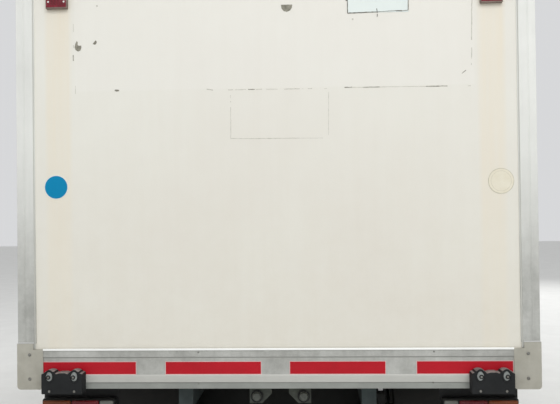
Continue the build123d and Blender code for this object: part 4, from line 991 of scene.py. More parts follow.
# Sections of the barrel, from the wheel's open edge to its back, and of the hubs. Columns: distance along the
# axis, radius
barrel = [
    (0.095, 0.2105), (0.0925, 0.2135), (0.088, 0.2125), (0.086, 0.204), (0.06, 0.2), (-0.06, 0.2),
    (-0.086, 0.204), (-0.088, 0.2125), (-0.0925, 0.2135), (-0.095, 0.2105), (-0.092, 0.2), (-0.062, 0.194),
    (0.06, 0.194), (0.083, 0.198), (0.095, 0.2105),
]
frontHub = [
    (-0.02, 0.032), (-0.02, 0.058), (0.1, 0.058), (0.104, 0.055), (0.104, 0.047), (0.118, 0.045),
    (0.124, 0.038), (0.125, 0.0),
]
rearHub = [
    (-0.145, 0.042), (-0.145, 0.076), (0.075, 0.076), (0.082, 0.07), (0.082, 0.062), (0.1, 0.06),
    (0.108, 0.052), (0.11, 0.0),
]
wheelSides = {"left": -1, "right": 1}
# Columns: end of the vehicle, what the nodes' names add for more than one wheel, dish, hub, the nuts' seat
# along the axis, places of the wheels along it
axles = [
    ("front", "", frontDish, frontHub, 0.07, (0.0,)),
    ("rear", "s", rearDish, rearHub, 0.022, (-0.118, 0.118)),
]


def addBarrels(bm, centre, side, dish, shifts):
    # A single wheel opens outwards, twin wheels away from each other
    for shift in shifts:
        place = centre + Vector((shift, 0, 0))
        facing = side if shift == 0 else 1
        profile = [(along * facing, radius) for along, radius in barrel]
        addLathe(bm, profile, place, (1, 0, 0), disc["barrelSteps"])
        addDisc(bm, place, -1 if shift < 0 else facing, dish)


def buildWheels():
    for name, side in wheelSides.items():
        for end, many, dish, hub, nutsAt, shifts in axles:
            corner = f"{end}_{name}"
            body = f"wheel{many}_{corner}"
            tyres = f"tyre{many}_{corner}"
            low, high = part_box(tyres)
            centre = (low + high) / 2
            bm = bmesh.new()
            for shift in shifts:
                addTyre(bm, centre + Vector((shift, 0, 0)))
            finishPiece(bm, f"tread_{corner}", ["tyreRubber"], body, [tyres], sharp["tread"])
            bm = bmesh.new()
            addBarrels(bm, centre, side, dish, shifts)
            profile = [(along * side, radius) for along, radius in hub]
            addLathe(bm, profile, centre, (1, 0, 0), disc["hubSteps"], 1)
            addNuts(bm, centre, side, nutsAt)
            names = ["wheelPaint", "framePaint", "screwSteel"]
            finishPiece(bm, f"wheel_disc_{corner}", names, body, [f"rim{many}_{corner}"])


buildWheels()
print("wheels built")


# Cooling unit and evaporator: fans behind wire guards. A hub and a guard's rings are shares of a radius
unitLow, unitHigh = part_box("cooling_unit")
evaporatorLow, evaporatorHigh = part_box("evaporator")
fan = {
    "hub": 0.27, "hubBack": 0.012, "hubFront": 0.016, "bevel": 0.004, "blades": 7, "twist": 0.45,
    "thick": 0.002, "steps": 32, "wellSteps": 40,
}
# Columns: 0 root or 1 tip, distance as a share of the radius, then across the blade and out of its plane
bladeCorners = [
    (0, 0.22, -0.018, -0.008), (0, 0.22, 0.018, 0.008), (1, 0.9, 0.05, 0.012), (1, 0.9, -0.035, -0.01),
]
guard = {
    "rings": 9, "first": 0.16, "around": 40, "wire": 0.0022, "wireSteps": 6, "spokes": 3, "spoke": 0.00286,
    "spokeSteps": 8,
}


def addTorus(bm, centre, axis, radius, wire, steps, around, material):
    profile = []
    for i in range(around + 1):
        aside, along = polar(wire, 2 * pi * i / around)
        profile.append((along, radius + aside))
    addLathe(bm, profile, centre, axis, steps, material)


def addFan(bm, centre, out, radius):
    addCylinder(bm, centre - out * fan["hubBack"], centre + out * fan["hubFront"], radius * fan["hub"],
                fan["steps"], bevel=fan["bevel"])
    for i in range(fan["blades"]):
        root = Matrix.Rotation(2 * pi * i / fan["blades"], 3, out) @ out.orthogonal().normalized()
        arms = (root, Matrix.Rotation(fan["twist"], 3, out) @ root)
        corners = []
        for end, share, across, lift in bladeCorners:
            corners.append(centre + arms[end] * radius * share + out.cross(arms[end]) * across + out * lift)
        addPrism(bm, corners, out * fan["thick"])


def addGuard(bm, centre, out, radius):
    for i in range(guard["rings"]):
        share = guard["first"] + (1 - guard["first"]) * i / (guard["rings"] - 1)
        addTorus(bm, centre, out, radius * share, guard["wire"], guard["around"], guard["wireSteps"], 1)
    for i in range(guard["spokes"]):
        spoke = Matrix.Rotation(pi * i / guard["spokes"], 3, out) @ out.orthogonal().normalized() * radius
        addCylinder(bm, centre - spoke, centre + spoke, guard["spoke"], guard["spokeSteps"], material=1)


# Rows of fans: x of the fans, their radius and distance out of the face, start, end and radius of the wells
# behind them, radius of the guards and their distance
fanRows = {
    "unit_fans": ((-0.35, 0.35), 0.142, -0.066, (-0.087, -0.084, 0.142), 0.15, -0.022),
    "evaporator_fans": ((-0.36, 0.0, 0.36), 0.08, 0.006, (-0.008, 0.004, 0.088), 0.088, 0.02),
}
evaporatorRise = 0.03


def buildFans(name, y, z, out):
    places, radius, fanAt, (start, end, well), ring, guardAt = fanRows[name]
    bm = bmesh.new()
    for x in places:
        face = Vector((x, y, z))
        addFan(bm, face + out * fanAt, out, radius)
        addCylinder(bm, face + out * start, face + out * end, well, fan["wellSteps"])
        addGuard(bm, face + out * guardAt, out, ring)
    finishPiece(bm, name, ["blackPaint", "brightSteel"], "chassis")


# Seams and louvres on the cooling unit's sides, seams on its top and a strip at its foot, as for addBoxes
unitDepth = unitHigh.y - unitLow.y
unitHeight = unitHigh.z - unitLow.z
sideSeam = [(0, 0.003, 0.05, 0.053, 0.03, unitHeight - 0.01, 0.0, 1, 1)]
louvres = [(0, 0.005, 0.08, 0.26, 0.09 + i * 0.026, 0.102 + i * 0.026, 0.002, 2, 0) for i in range(9)]
topSeam = (0.01, unitDepth - 0.135, -0.0005, 0.001, 0.0, 1, 1)
topSeams = [(x, x + 0.004, *topSeam) for x in (-0.69, -0.002, 0.686)]
footStrip = [(-0.68, 0.68, 0.012, 0.04, -0.006, 0.001, 0.002, 1, 1)]


def buildLouvres():
    bm = bmesh.new()
    for side in (-1, 1):
        addBoxes(bm, onSide(sideSeam + louvres, side), (side * unitHigh.x, unitLow.y, unitLow.z))
    addBoxes(bm, topSeams, (0, unitLow.y, unitHigh.z))
    addBoxes(bm, footStrip, (0, unitLow.y, unitLow.z))
    finishPiece(bm, "unit_louvres", ["unitPlastic", "sealRubber"], "chassis")


# Side door of the load space: rubber seal, hinge screws, lock handle and keepers
doorSeal = {"edge": 0.001, "wide": 0.012, "skin": (-0.004, 0.0015), "form": (0.002, 2, 0)}
hinge = {
    "heights": (1.25, 1.92, 2.59), "rise": 0.012, "out": 0.01, "first": 0.06, "pitch": 0.055, "screws": 4,
}
# Boxes as for addBoxes and rods as for addCylinder, from the handle's pivot and from each keeper's foot
handle = {"out": 0.024, "y": -0.55, "z": 1.62}
handleBoxes = [(0.008, 0.026, -0.018, 0.018, -0.03, 0.03, 0.004, 2, 1)]
handleRods = [
    ((0.018, 0.0, 0.0), (0.022, 0.26, -0.012), 0.0095, 16, 0.0075, 0.003, 2, 1),
    ((0.022, 0.143, -0.007), (0.022, 0.266, -0.0125), 0.0125, 20, None, 0.005, 3, 2),
]
keeper = {"low": 0.01, "high": 0.03, "box": [(0.0, 0.03, -0.028, 0.028, 0.0, 0.02, 0.003, 2, 1)]}


def addRods(bm, rows, place=(0, 0, 0)):
    for start, end, *form in rows:
        addCylinder(bm, Vector(place) + Vector(start), Vector(place) + Vector(end), *form)


def buildSideDoor():
    bm = bmesh.new()
    low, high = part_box("side_door")
    x = high.x
    edge, wide = doorSeal["edge"], doorSeal["wide"]
    y0, y1, z0, z1 = low.y + edge, high.y - edge, low.z + edge, high.z - edge
    strips = [(y0, y1, z0, z0 + wide), (y0, y1, z1 - wide, z1), (y0, y0 + wide, z0 + wide, z1 - wide),
              (y1 - wide, y1, z0 + wide, z1 - wide)]
    addBoxes(bm, [(*doorSeal["skin"], *strip, *doorSeal["form"]) for strip in strips], (x, 0, 0))
    for z in hinge["heights"]:
        for i in range(hinge["screws"]):
            y = high.y - hinge["first"] - i * hinge["pitch"]
            addScrew(bm, (x + hinge["out"], y, z + hinge["rise"]), (1, 0, 0), "hinge", 1)
    pivot = Vector((x + handle["out"], handle["y"], handle["z"]))
    addBoxes(bm, handleBoxes, pivot)
    addRods(bm, handleRods, pivot)
    hardLow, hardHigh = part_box("side_door_hardware")
    for z in (hardLow.z + keeper["low"], hardHigh.z - keeper["high"]):
        addBoxes(bm, keeper["box"], (x, handle["y"], z))
    names = ["sealRubber", "brightSteel", "trimPlastic"]
    finishPiece(bm, "side_door_fittings", names, "side_door")


# Box: rivet rows along the edges and seams of the side panels
rivetRow = {
    "first": 0.12, "pitch": 0.155, "count": 26,
    "rows": [(postSkin, boxTop - 0.03), (postSkin, boxTop - 0.075), (railProud, railTop - 0.02)],
}
rearRow = {"first": -0.93, "pitch": 0.155, "count": 13, "z": boxTop - 0.03}
boxSeam = {"y": (-1.9, -0.86, 0.46), "half": 0.014, "thick": 0.0012, "down": 0.09, "bevel": 0.0005}


def buildBoxSides():
    bm = bmesh.new()
    for side in (-1, 1):
        out = (side, 0, 0)
        for i in range(rivetRow["count"]):
            y = wallFace + rivetRow["first"] + i * rivetRow["pitch"]
            for proud, z in rivetRow["rows"]:
                addScrew(bm, (side * (halfWidth + proud), y, z), out, "box")
        for y in boxSeam["y"]:
            low = (side * halfWidth, y - boxSeam["half"], railTop)
            high = (side * (halfWidth + boxSeam["thick"]), y + boxSeam["half"], boxTop - boxSeam["down"])
            addBox(bm, low, high, boxSeam["bevel"], 1, 1)
    for i in range(rearRow["count"]):
        x = rearRow["first"] + i * rearRow["pitch"]
        addScrew(bm, (x, wallFace - postSkin, rearRow["z"]), rear, "box")
    finishPiece(bm, "box_rivets", ["beadMetal", "wallPanel"], "chassis")


buildFans("unit_fans", unitHigh.y, (unitLow.z + unitHigh.z) / 2, ahead)
buildLouvres()
buildFans("evaporator_fans", evaporatorLow.y, (evaporatorLow.z + evaporatorHigh.z) / 2 + evaporatorRise, rear)
buildSideDoor()
buildBoxSides()
print("box fittings built")


# The cab's shell: its windscreen rakes back and its sides lean in from the shoulder up
cab = {"half": 1.0, "front": 2.95, "shoulder": 1.45, "rise": 0.7, "rake": 0.31, "lean": 0.07}


def screenPoint(x, z, out=0.0):
    # A point on the windscreen's plane, moved out of it by a distance
    share = (z - cab["shoulder"]) / cab["rise"]
    slope = Vector((0, cab["rise"], cab["rake"])).normalized()
    return Vector((x, cab["front"] - cab["rake"] * share, z)) + slope * out


def sidePoint(y, z, out=0.0):
    # A point on the right side of the cab above its shoulder
    share = (z - cab["shoulder"]) / cab["rise"]
    tilt = Vector((cab["rise"], 0, cab["lean"])).normalized()
    return Vector((cab["half"] - cab["lean"] * share, y, z)) + tilt * out


# Glazing seals. Corners of the cut openings: x and z in front and behind, y and z at the side
screenOpening = [(-0.845, 1.46), (0.845, 1.46), (0.775, 2.12), (-0.775, 2.12)]
backOpening = [(-0.42, 1.56), (0.42, 1.56), (0.42, 1.98), (-0.42, 1.98)]
doorOpening = [(1.84, 1.49), (2.64, 1.49), (2.444, 2.02), (1.84, 2.02)]
sealOut = {"screen": 0.002, "door": 0.001}
# Columns: radius of the corners, width, thickness
sealForms = {"screen": (0.05, 0.034, 0.008), "back": (0.05, 0.03, 0.006), "door": (0.035, 0.026, 0.005)}
# Section of a seal. Columns: shares of its half width and of its thickness
sealSection = [(-1, -0.3), (-1, 0.6), (-0.6, 1), (0.6, 1), (1, 0.6), (1, -0.3)]
arcSteps = 6
# Door handle: a recessed cup with a pull bar, and the key barrel beside it
doorCup = [
    (0.998, 1.002, 1.83, 1.97, 1.29, 1.35, 0.003, 2, 0),
    (0.998, 1.014, 1.838, 1.962, 1.322, 1.338, 0.003, 2, 0),
]
keyBarrel = [((1.0, 1.99, 1.32), (1.004, 1.99, 1.32), 0.011, 24, None, 0.001, 1, 1)]


def roundedRoute(corners, radius):
    # Corners of a closed outline, each rounded by a short arc
    route = []
    for before, corner, after in zip([corners[-1], *corners], corners, [*corners[1:], corners[0]]):
        start = corner + (before - corner).normalized() * radius
        end = corner + (after - corner).normalized() * radius
        for k in range(arcSteps + 1):
            share = k / arcSteps
            route.append(start * (1 - share) ** 2 + corner * 2 * share * (1 - share) + end * share ** 2)
    return route


def addSeal(bm, corners, radius, wide, thick):
    # A flat moulding round an opening, lying in the plane of its corners
    normal = (corners[1] - corners[0]).cross(corners[3] - corners[0]).normalized()
    route = roundedRoute(corners, radius)
    rings = []
    for before, point, after in zip([route[-1], *route], route, [*route[1:], route[0]]):
        first = (point - before).normalized()
        second = (after - point).normalized()
        across = (first + second).normalized().cross(normal).normalized()
        miter = wide / 2 / across.dot(first.cross(normal).normalized())
        rings.append([bm.verts.new(point + across * miter * a + normal * thick * b) for a, b in sealSection])
    for first, second in zip(rings, [*rings[1:], rings[0]]):
        bridge(bm, first, second)


def buildGlazingSeals():
    bm = bmesh.new()
    addSeal(bm, [screenPoint(x, z, sealOut["screen"]) for x, z in screenOpening], *sealForms["screen"])
    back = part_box("cab_rear_panel")[0].y
    addSeal(bm, [Vector((x, back, z)) for x, z in backOpening], *sealForms["back"])
    finishPiece(bm, "cab_glass_seals", ["sealRubber"], "cab")
    for name, side in wheelSides.items():
        bm = bmesh.new()
        addSeal(bm, [sidePoint(y, z, sealOut["door"]) for y, z in doorOpening], *sealForms["door"])
        addBoxes(bm, doorCup)
        addRods(bm, keyBarrel)
        bmesh.ops.scale(bm, vec=(side, 1.0, 1.0), verts=bm.verts)
        names = ["sealRubber", "brightSteel"]
        finishPiece(bm, f"door_seal_{name}", names, f"cab_door_{name}")


# Front of the cab: dark mesh and bars behind the grille slots, slats' lips, indicator lamps and wipers. Boxes
# as for addBoxes, from the skin and, for lips and bars, from a slot's foot
grille = [(-0.53, 0.53, -0.05, -0.044, 0.852, 1.024, 0.0, 1, 0)]
slots = {"foot": 0.862, "pitch": 0.042, "count": 4}
lips = [(-0.52, 0.52, -0.012, 0.0025, z, z + 0.004, 0.001, 1, 1) for z in (-0.002, 0.024)]
bars = [(k * 0.06 - 0.0025, k * 0.06 + 0.0025, -0.04, -0.01, 0.0, 0.026, 0.0, 1, 0) for k in range(-8, 9)]
indicator = [
    (0.64, 0.82, -0.01, 0.01, 1.0, 1.07, 0.006, 3, 2),
    (0.632, 0.828, -0.008, 0.004, 0.992, 1.078, 0.004, 2, 1),
]
wiper = {
    "pivots": (-0.62, 0.06), "low": 1.448, "belt": 1.46, "arm": 0.42, "blade": 0.56, "lean": 0.22,
    "cap": 0.024, "tip": 0.02, "bladeOut": 0.01,
}
# Columns: radius, steps, radius at the end and bevel of the cap, the arm and the blade
wiperRods = {"cap": (0.014, 20, 0.011, 0.003), "arm": (0.0055, 10, 0.004), "blade": (0.0065, 8)}


def addWiper(bm, x):
    base = screenPoint(x, wiper["low"])
    cap = screenPoint(x, wiper["low"], wiper["cap"])
    aside, up = polar(wiper["arm"], wiper["lean"])
    tip = screenPoint(x + aside, wiper["belt"] + up, wiper["tip"])
    aside, up = polar(wiper["blade"] / 2, wiper["lean"])
    low, high = (screenPoint(tip.x + k * aside, tip.z + k * up, wiper["bladeOut"]) for k in (-1, 1))
    for start, end, part in ((base, cap, "cap"), (cap, tip, "arm"), (low, high, "blade")):
        addCylinder(bm, start, end, *wiperRods[part])


def buildCabFront():
    bm = bmesh.new()
    skin = Vector((0, cab["front"], 0))
    addBoxes(bm, grille, skin)
    for i in range(slots["count"]):
        addBoxes(bm, lips + bars, skin + Vector((0, 0, slots["foot"] + i * slots["pitch"])))
    for side in (-1, 1):
        addBoxes(bm, onSide(indicator, side), skin)
    for x in wiper["pivots"]:
        addWiper(bm, x)
    finishPiece(bm, "cab_front_fittings", ["sealRubber", "trimPlastic", "amberLens"], "cab")


# Bumper: headlamp reflectors and bulbs, the wall behind them, and the slats of the air intake. The lamps
# sweep back towards the side
headlamp = {
    "places": (0.71, 0.838), "z": 0.5925, "back": 0.052, "from": 0.6, "sweep": 0.22, "bowl": 0.004,
    "steps": 40,
}
bowl = [(0.0, 0.012), (0.006, 0.03), (0.016, 0.044), (0.03, 0.052)]
bulb = [((0, 0, 0), (0, 0.018, 0), 0.012, 20, 0.008, 0.003, 2, 1)]
lampWall = [(0.6, 0.888, -0.17, -0.15, 0.522, 0.663, 0.0, 1, 2)]
slats = [(-0.34, 0.34, -0.026, -0.012, 0.475 + i * 0.015, 0.48 + i * 0.015, 0.001, 1, 0) for i in range(6)]


def buildBumperFittings():
    bm = bmesh.new()
    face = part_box("headlamps")[1].y
    for side in (-1, 1):
        for x in headlamp["places"]:
            y = face - headlamp["back"] - (x - headlamp["from"]) * headlamp["sweep"]
            place = Vector((side * x, y, headlamp["z"]))
            addLathe(bm, bowl, place - ahead * headlamp["bowl"], ahead, headlamp["steps"])
            addRods(bm, bulb, place)
        addBoxes(bm, onSide(lampWall, side), (0, face, 0))
    names = ["mirrorGlass", "clearLens", "trimPlastic"]
    finishPiece(bm, "headlamp_bowls", names, "chassis", normals=False)
    bm = bmesh.new()
    addBoxes(bm, slats, (0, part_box("front_bumper")[1].y, 0))
    finishPiece(bm, "bumper_slats", ["trimPlastic"], "chassis")


# Mirror glass in a dark housing, on the side that faces the driver
mirrorBoxes = [
    (1.083, 1.232, -0.0015, 0.002, 1.512, 1.868, 0.014, 3, 0),
    (1.09, 1.225, -0.0025, 0.001, 1.519, 1.861, 0.0008, 1, 1),
]


def buildMirrors():
    bm = bmesh.new()
    addBoxes(bm, mirrorBoxes, (0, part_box("mirrors")[0].y, 0))
    bothSides(bm)
    finishPiece(bm, "mirror_glasses", ["trimPlastic", "mirrorGlass"], "cab")


buildGlazingSeals()
buildCabFront()
buildBumperFittings()
buildMirrors()
print("cab fittings built")


# Seats: crowned cushions and backs with sewn channels. Columns: middle in x, half width, foot and top of the
# base, foot of the cushion
seats = {
    "left": (-0.62, 0.25, 0.941, 1.135, 1.13), "middle": (0.0, 0.3, 1.161, 1.22, 1.21),
    "right": (0.62, 0.25, 0.941, 1.135, 1.13),
}
seat = {
    "gap": 0.006, "top": 1.31, "cushionY": 1.525, "deep": (0, 0.465, 0), "back": (1.455, 1.23),
    "rise": (0, -0.066, 0.56), "thick": (0, 0.078, 0.01), "baseIn": 0.02, "baseY": (1.485, 1.94),
    "bevel": 0.01, "fill": 0.7,
}
# A pad: its crown, seams, and how far its ends are pulled in. A rim and a seam fade over shares of its sides
pad = {
    "steps": 28, "crown": 0.02, "rim": 0.22, "channels": 3, "sew": 0.008, "seam": 0.035, "seamEnd": 0.06,
    "pull": 0.012,
}


def padPoint(u, v, deep, normal):
    # How far a point of a pad's face, at shares of its two sides, lies off the plane of its rim's top
    rim = min(u, 1 - u, v, 1 - v)
    rise = pad["crown"] * (1 - (1 - min(rim / pad["rim"], 1.0)) ** 2)
    seam = min(abs(v - (n + 1) / (pad["channels"] + 1)) for n in range(pad["channels"]))
    sunk = pad["sew"] * max(0.0, 1 - seam / pad["seam"]) * min(1.0, rim / pad["seamEnd"])
    pull = pad["pull"] * (1 - sin(pi * u)) * (2 * v - 1) if v in (0, 1) else 0
    return normal * (rise - sunk - pad["crown"]) - deep.normalized() * pull


def addPad(bm, corner, wide, deep, tall):
    # A pad on a corner and three edge vectors: crowned on its face, pulled in at its rim, sewn across
    corner, wide, deep, tall = (Vector(edge) for edge in (corner, wide, deep, tall))
    normal = tall.normalized()
    steps = pad["steps"]
    rows = []
    for i in range(steps + 1):
        row = []
        for k in range(steps + 1):
            u = i / steps
            v = k / steps
            row.append(bm.verts.new(corner + wide * u + deep * v + tall + padPoint(u, v, deep, normal)))
        rows.append(row)
    for i in range(steps):
        for k in range(steps):
            bm.faces.new((rows[i][k], rows[i + 1][k], rows[i + 1][k + 1], rows[i][k + 1]))
    face = set(sum(rows, []))
    border = [edge for edge in bm.edges if edge.is_boundary and edge.verts[0] in face]
    moved = bmesh.ops.extrude_edge_only(bm, edges=border)["geom"]
    bmesh.ops.translate(bm, vec=normal * pad["crown"] - tall, verts=ofKind(moved, bmesh.types.BMVert))
    bmesh.ops.contextual_create(bm, geom=ofKind(moved, bmesh.types.BMEdge))


def buildSeats():
    for name, (middle, half, foot, shelf, cushion) in seats.items():
        low = middle - half + seat["gap"]
        wide = (2 * (half - seat["gap"]), 0, 0)
        bm = bmesh.new()
        addPad(bm, (low, seat["cushionY"], cushion), wide, seat["deep"], (0, 0, seat["top"] - cushion))
        addPad(bm, (low, *seat["back"]), wide, seat["rise"], seat["thick"])
        pads = finishPiece(bm, f"seat_pads_{name}", ["seatCloth"], "cab", hides=["cab_seats"],
                           angle=sharp["seat"])
        bm = bmesh.new()
        inner = low + seat["baseIn"]
        outer = low + wide[0] - seat["baseIn"]
        addBox(bm, (inner, seat["baseY"][0], foot), (outer, seat["baseY"][1], shelf), seat["bevel"])
        finishPiece(bm, f"seat_base_{name}", ["trimPlastic"], "cab")


# Dashboard: padded top, instrument cowl, vents and shelf, with the steering wheel and its column
dashProfile = [
    (2.905, 1.2), (2.905, 1.43), (2.7, 1.43), (2.6, 1.405), (2.57, 1.37), (2.575, 1.31), (2.59, 1.24),
    (2.62, 1.215), (2.7, 1.2),
]
dash = {"half": 0.8, "bevel": 0.004, "vents": (-0.2, 0.0, 0.2, 0.66)}
# Boxes as for addBoxes: the cowl, and a vent's from its middle
cowl = [
    (-0.82, -0.42, 2.575, 2.74, 1.4, 1.475, 0.02, 4, 0),
    (-0.8, -0.44, 2.572, 2.58, 1.408, 1.466, 0.002, 1, 1),
]
vent = [(-0.06, 0.06, 2.568, 2.58, 1.32, 1.365, 0.003, 2, 1)]
vent += [(-0.055, 0.055, 2.5655, 2.572, 1.325 + k * 0.01, 1.329 + k * 0.01, 0.001, 1, 0) for k in range(4)]
columnBox = [(-0.66, -0.58, 2.36, 2.62, 1.24, 1.33, 0.01, 3, 0)]
# Steps round the wheel's rim and round its section. An arm: radius at the hub, steps, radius at the rim
steering = {
    "place": Vector((-0.62, 2.28, 1.56)), "tilt": radians(58.0), "radius": 0.202, "rim": 0.0115,
    "spoke": 0.004, "around": (64, 14), "arm": (0.016, 16, 0.011),
}
# Columns: start and end along the column's axis, then as for addCylinder
steeringRods = [(-0.008, 0.03, 0.062, 40, 0.05, 0.008, 3), (0.02, 0.4, 0.05, 32, 0.024, 0.004)]


def buildDashboard():
    bm = bmesh.new()
    addPrism(bm, [(-dash["half"], y, z) for y, z in dashProfile], (2 * dash["half"], 0, 0), dash["bevel"])
    addBoxes(bm, cowl)
    for x in dash["vents"]:
        addBoxes(bm, vent, (x, 0, 0))
    hub = steering["place"]
    along, down = polar(1, steering["tilt"])
    away = Vector((0, along, -down))
    across = Vector((1, 0, 0))
    addTorus(bm, hub, away, steering["radius"], steering["rim"], *steering["around"], 2)
    for start, end, *form in steeringRods:
        addCylinder(bm, hub + away * start, hub + away * end, *form)
    for way in (across, -across, across.cross(away)):
        addCylinder(bm, hub + away * steering["spoke"], hub + way * steering["radius"], *steering["arm"])
    addBoxes(bm, columnBox)
    finishPiece(bm, "dashboard", ["trimPlastic", "sealRubber", "trimPlastic"], "cab",
                hides=["cab_dashboard"])


buildSeats()
buildDashboard()
print("cab interior built")


# Chassis fittings: tank straps and cap, battery lid, spring clamps, frame bolts and flap ribs
tank = {"left": -0.86, "inner": -0.46, "cut": 0.05, "straps": (-0.15, 0.35), "half": 0.022, "thick": 0.003}
# Profile of the cap: distance up, radius
tankCap = [(0.0, 0.045), (0.018, 0.045), (0.02, 0.04), (0.034, 0.038), (0.038, 0.034), (0.038, 0.0)]
tankCapForm = {"x": -0.72, "steps": 40}
tankBoss = {"in": 0.2, "inset": 0.006, "half": 0.008, "radius": 0.03, "steps": 24}
# Boxes as for addBoxes: the lid's latch from its foot, and a slot from the box's foot
battery = {
    "inner": 0.448, "proud": 0.004, "up": 0.006, "down": 0.07, "bevel": 0.008, "first": 0.1, "last": 0.13,
}
latch = [(0.0, 0.012, 0.0, 0.03, -0.11, -0.045, 0.003, 2, 1)]
batterySlots = [(0.0, 0.003, -0.03, 0.06, 0.04 + 0.02 * i, 0.05 + 0.02 * i, 0.001, 1, 0) for i in range(5)]


def buildTankFittings():
    bm = bmesh.new()
    low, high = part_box("fuel_tank")
    left, inner, cut = tank["left"], tank["inner"], tank["cut"]
    outline = [(inner, high.z), (left + cut, high.z), (left, high.z - cut), (left, low.z + cut),
               (left + cut, low.z), (inner, low.z)]
    half = ahead * tank["half"]
    for y in tank["straps"]:
        route = [Vector((x, y, z)) for x, z in outline]
        for start, end in zip(route, route[1:]):
            out = ahead.cross((end - start).normalized()).normalized()
            addPrism(bm, [start - half, start + half, end + half, end - half], out * -tank["thick"])
    addLathe(bm, tankCap, (tankCapForm["x"], 0.0, high.z), (0, 0, 1), tankCapForm["steps"], 1)
    for y in (low.y + tankBoss["inset"], high.y - tankBoss["inset"]):
        place = Vector((left + tankBoss["in"], y, (low.z + high.z) / 2))
        half = ahead * tankBoss["half"]
        addCylinder(bm, place - half, place + half, tankBoss["radius"], tankBoss["steps"])
    finishPiece(bm, "tank_straps", ["galvanised", "trimPlastic"], "chassis")


def buildBatteryLid():
    bm = bmesh.new()
    low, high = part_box("battery_box")
    proud = battery["proud"]
    addBox(bm, (battery["inner"], low.y - proud, high.z - battery["down"]),
           (high.x + proud, high.y + proud, high.z + battery["up"]), battery["bevel"], 3)
    for y in (low.y + battery["first"], high.y - battery["last"]):
        addBoxes(bm, latch, (high.x, y, high.z))
        addBoxes(bm, batterySlots, (high.x, y, low.z))
    finishPiece(bm, "battery_lid", ["blackPaint", "brightSteel"], "chassis")


# Springs. Columns: middle in x, axle's place in y, foot of the pack. A clamp's rod: radius, steps
springPlaces = [(0.385, 1.885, 0.485), (0.475, -1.475, 0.472)]
springClamp = {"aside": 0.043, "along": 0.045, "below": 0.13, "top": 0.556, "rod": (0.008, 12)}
clampPlate = [(-0.055, 0.055, -0.06, 0.06, -0.075, -0.06, 0.003, 1)]
# Bolts of the frame's joints and of the box's mounts. Columns: x, places in y, how far on each side, heights
frameBolts = [
    (0.425, (-2.28, -0.9, 0.1, 1.0, 2.7), 0.025, (0.67, 0.73)), (0.51, (-2.075, -0.875), 0.02, (0.62,)),
    (0.425, (1.345, 2.425), 0.02, (0.62,)),
]
frameBolt = (0.009, 0.01)
flapRibs = [(0.62 + i * 0.047, 0.632 + i * 0.047, -0.003, 0.001, 0.03, 0.17, 0.0015, 1) for i in range(9)]


def buildChassisBolts():
    bm = bmesh.new()
    aside, top = springClamp["aside"], springClamp["top"]
    for x, y, foot in springPlaces:
        for along in (y - springClamp["along"], y + springClamp["along"]):
            for across in (x - aside, x + aside):
                start = (across, along, foot - springClamp["below"])
                addCylinder(bm, start, (across, along, top), *springClamp["rod"])
            addCylinder(bm, (x - aside, along, top), (x + aside, along, top), *springClamp["rod"])
        addBoxes(bm, clampPlate, (x, y, foot))
    for x, places, apart, heights in frameBolts:
        for y in places:
            for z in heights:
                for spot in (y - apart, y + apart):
                    addBolt(bm, (x, spot, z), (1, 0, 0), *frameBolt)
    bothSides(bm)
    finishPiece(bm, "chassis_bolts", ["framePaint"], "chassis")
    bm = bmesh.new()
    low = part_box("rear_mudguards")[0]
    addBoxes(bm, flapRibs, (0, low.y, low.z))
    bothSides(bm)
    finishPiece(bm, "flap_ribs", ["sealRubber"], "chassis")


buildTankFittings()
buildBatteryLid()
buildChassisBolts()
print("chassis fittings built")


# Floor, light and camera
floorSize = 30.0


def buildStage():
    bm = bmesh.new()
    bmesh.ops.create_grid(bm, x_segments=2, y_segments=2, size=floorSize)
    mesh = bpy.data.meshes.new("floor")
    bm.to_mesh(mesh)
    bm.free()
    floor = bpy.data.objects.new("floor", mesh)
    bpy.context.scene.collection.objects.link(floor)
    mesh.materials.append(materials["floorPale"])


worldLook = {"color": (246, 247, 249), "strength": 0.74}


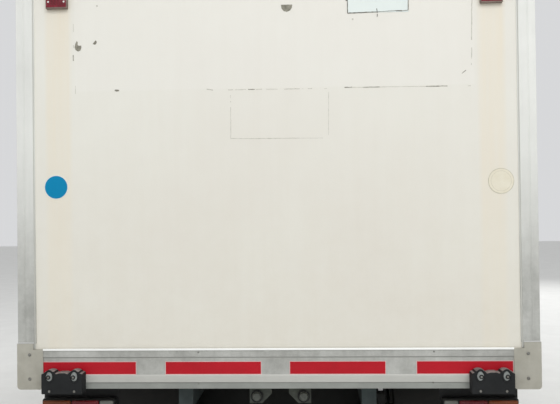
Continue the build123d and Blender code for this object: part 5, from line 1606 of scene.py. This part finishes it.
def buildWorld():
    world = bpy.data.worlds.new("studio")
    bpy.context.scene.world = world
    world.use_nodes = True
    background = world.node_tree.nodes["Background"]
    background.inputs["Color"].default_value = linear(*worldLook["color"])
    background.inputs["Strength"].default_value = worldLook["strength"]


# Columns: name, place, aim, width, height, power
lights = [
    ("soft_behind", (1.0, -9.0, 6.2), (0.0, -2.9, 1.9), 6.0, 4.0, 250.0),
    ("soft_above", (0.0, 0.0, 9.0), (0.0, 0.0, 0.0), 8.0, 8.0, 300.0),
    ("soft_front", (5.0, 9.0, 5.0), (0.0, 2.0, 1.5), 5.0, 4.0, 240.0),
]


def buildLights():
    for name, place, aim, width, height, power in lights:
        data = bpy.data.lights.new(name, "AREA")
        data.shape = "RECTANGLE"
        data.size = width
        data.size_y = height
        data.energy = power
        lamp = bpy.data.objects.new(name, data)
        lamp.location = place
        lamp.rotation_mode = "QUATERNION"
        lamp.rotation_quaternion = (Vector(aim) - Vector(place)).to_track_quat("-Z", "Y")
        bpy.context.scene.collection.objects.link(lamp)


cameraView = {
    "place": (0.164, -5.94, 1.593), "yaw": -0.045864, "pitch": 0.011545, "roll": -0.011722, "lens": 48.0,
    "sensor": 36.0,
}


def buildCamera():
    yaw, pitch, roll = (cameraView[name] for name in ("yaw", "pitch", "roll"))
    forward = Vector((sin(yaw) * cos(pitch), cos(yaw) * cos(pitch), sin(pitch)))
    right = Vector((cos(yaw), -sin(yaw), 0))
    up = right.cross(forward)
    axes = (cos(roll) * right + sin(roll) * up, cos(roll) * up - sin(roll) * right, -forward)
    data = bpy.data.cameras.new("camera")
    data.lens = cameraView["lens"]
    data.sensor_width = cameraView["sensor"]
    camera = bpy.data.objects.new("camera", data)
    camera.matrix_world = Matrix.Translation(cameraView["place"]) @ Matrix(axes).transposed().to_4x4()
    bpy.context.scene.collection.objects.link(camera)
    bpy.context.scene.camera = camera


buildStage()
buildWorld()
buildLights()
buildCamera()
bpy.context.scene.view_settings.view_transform = "Standard"
print("stage built")
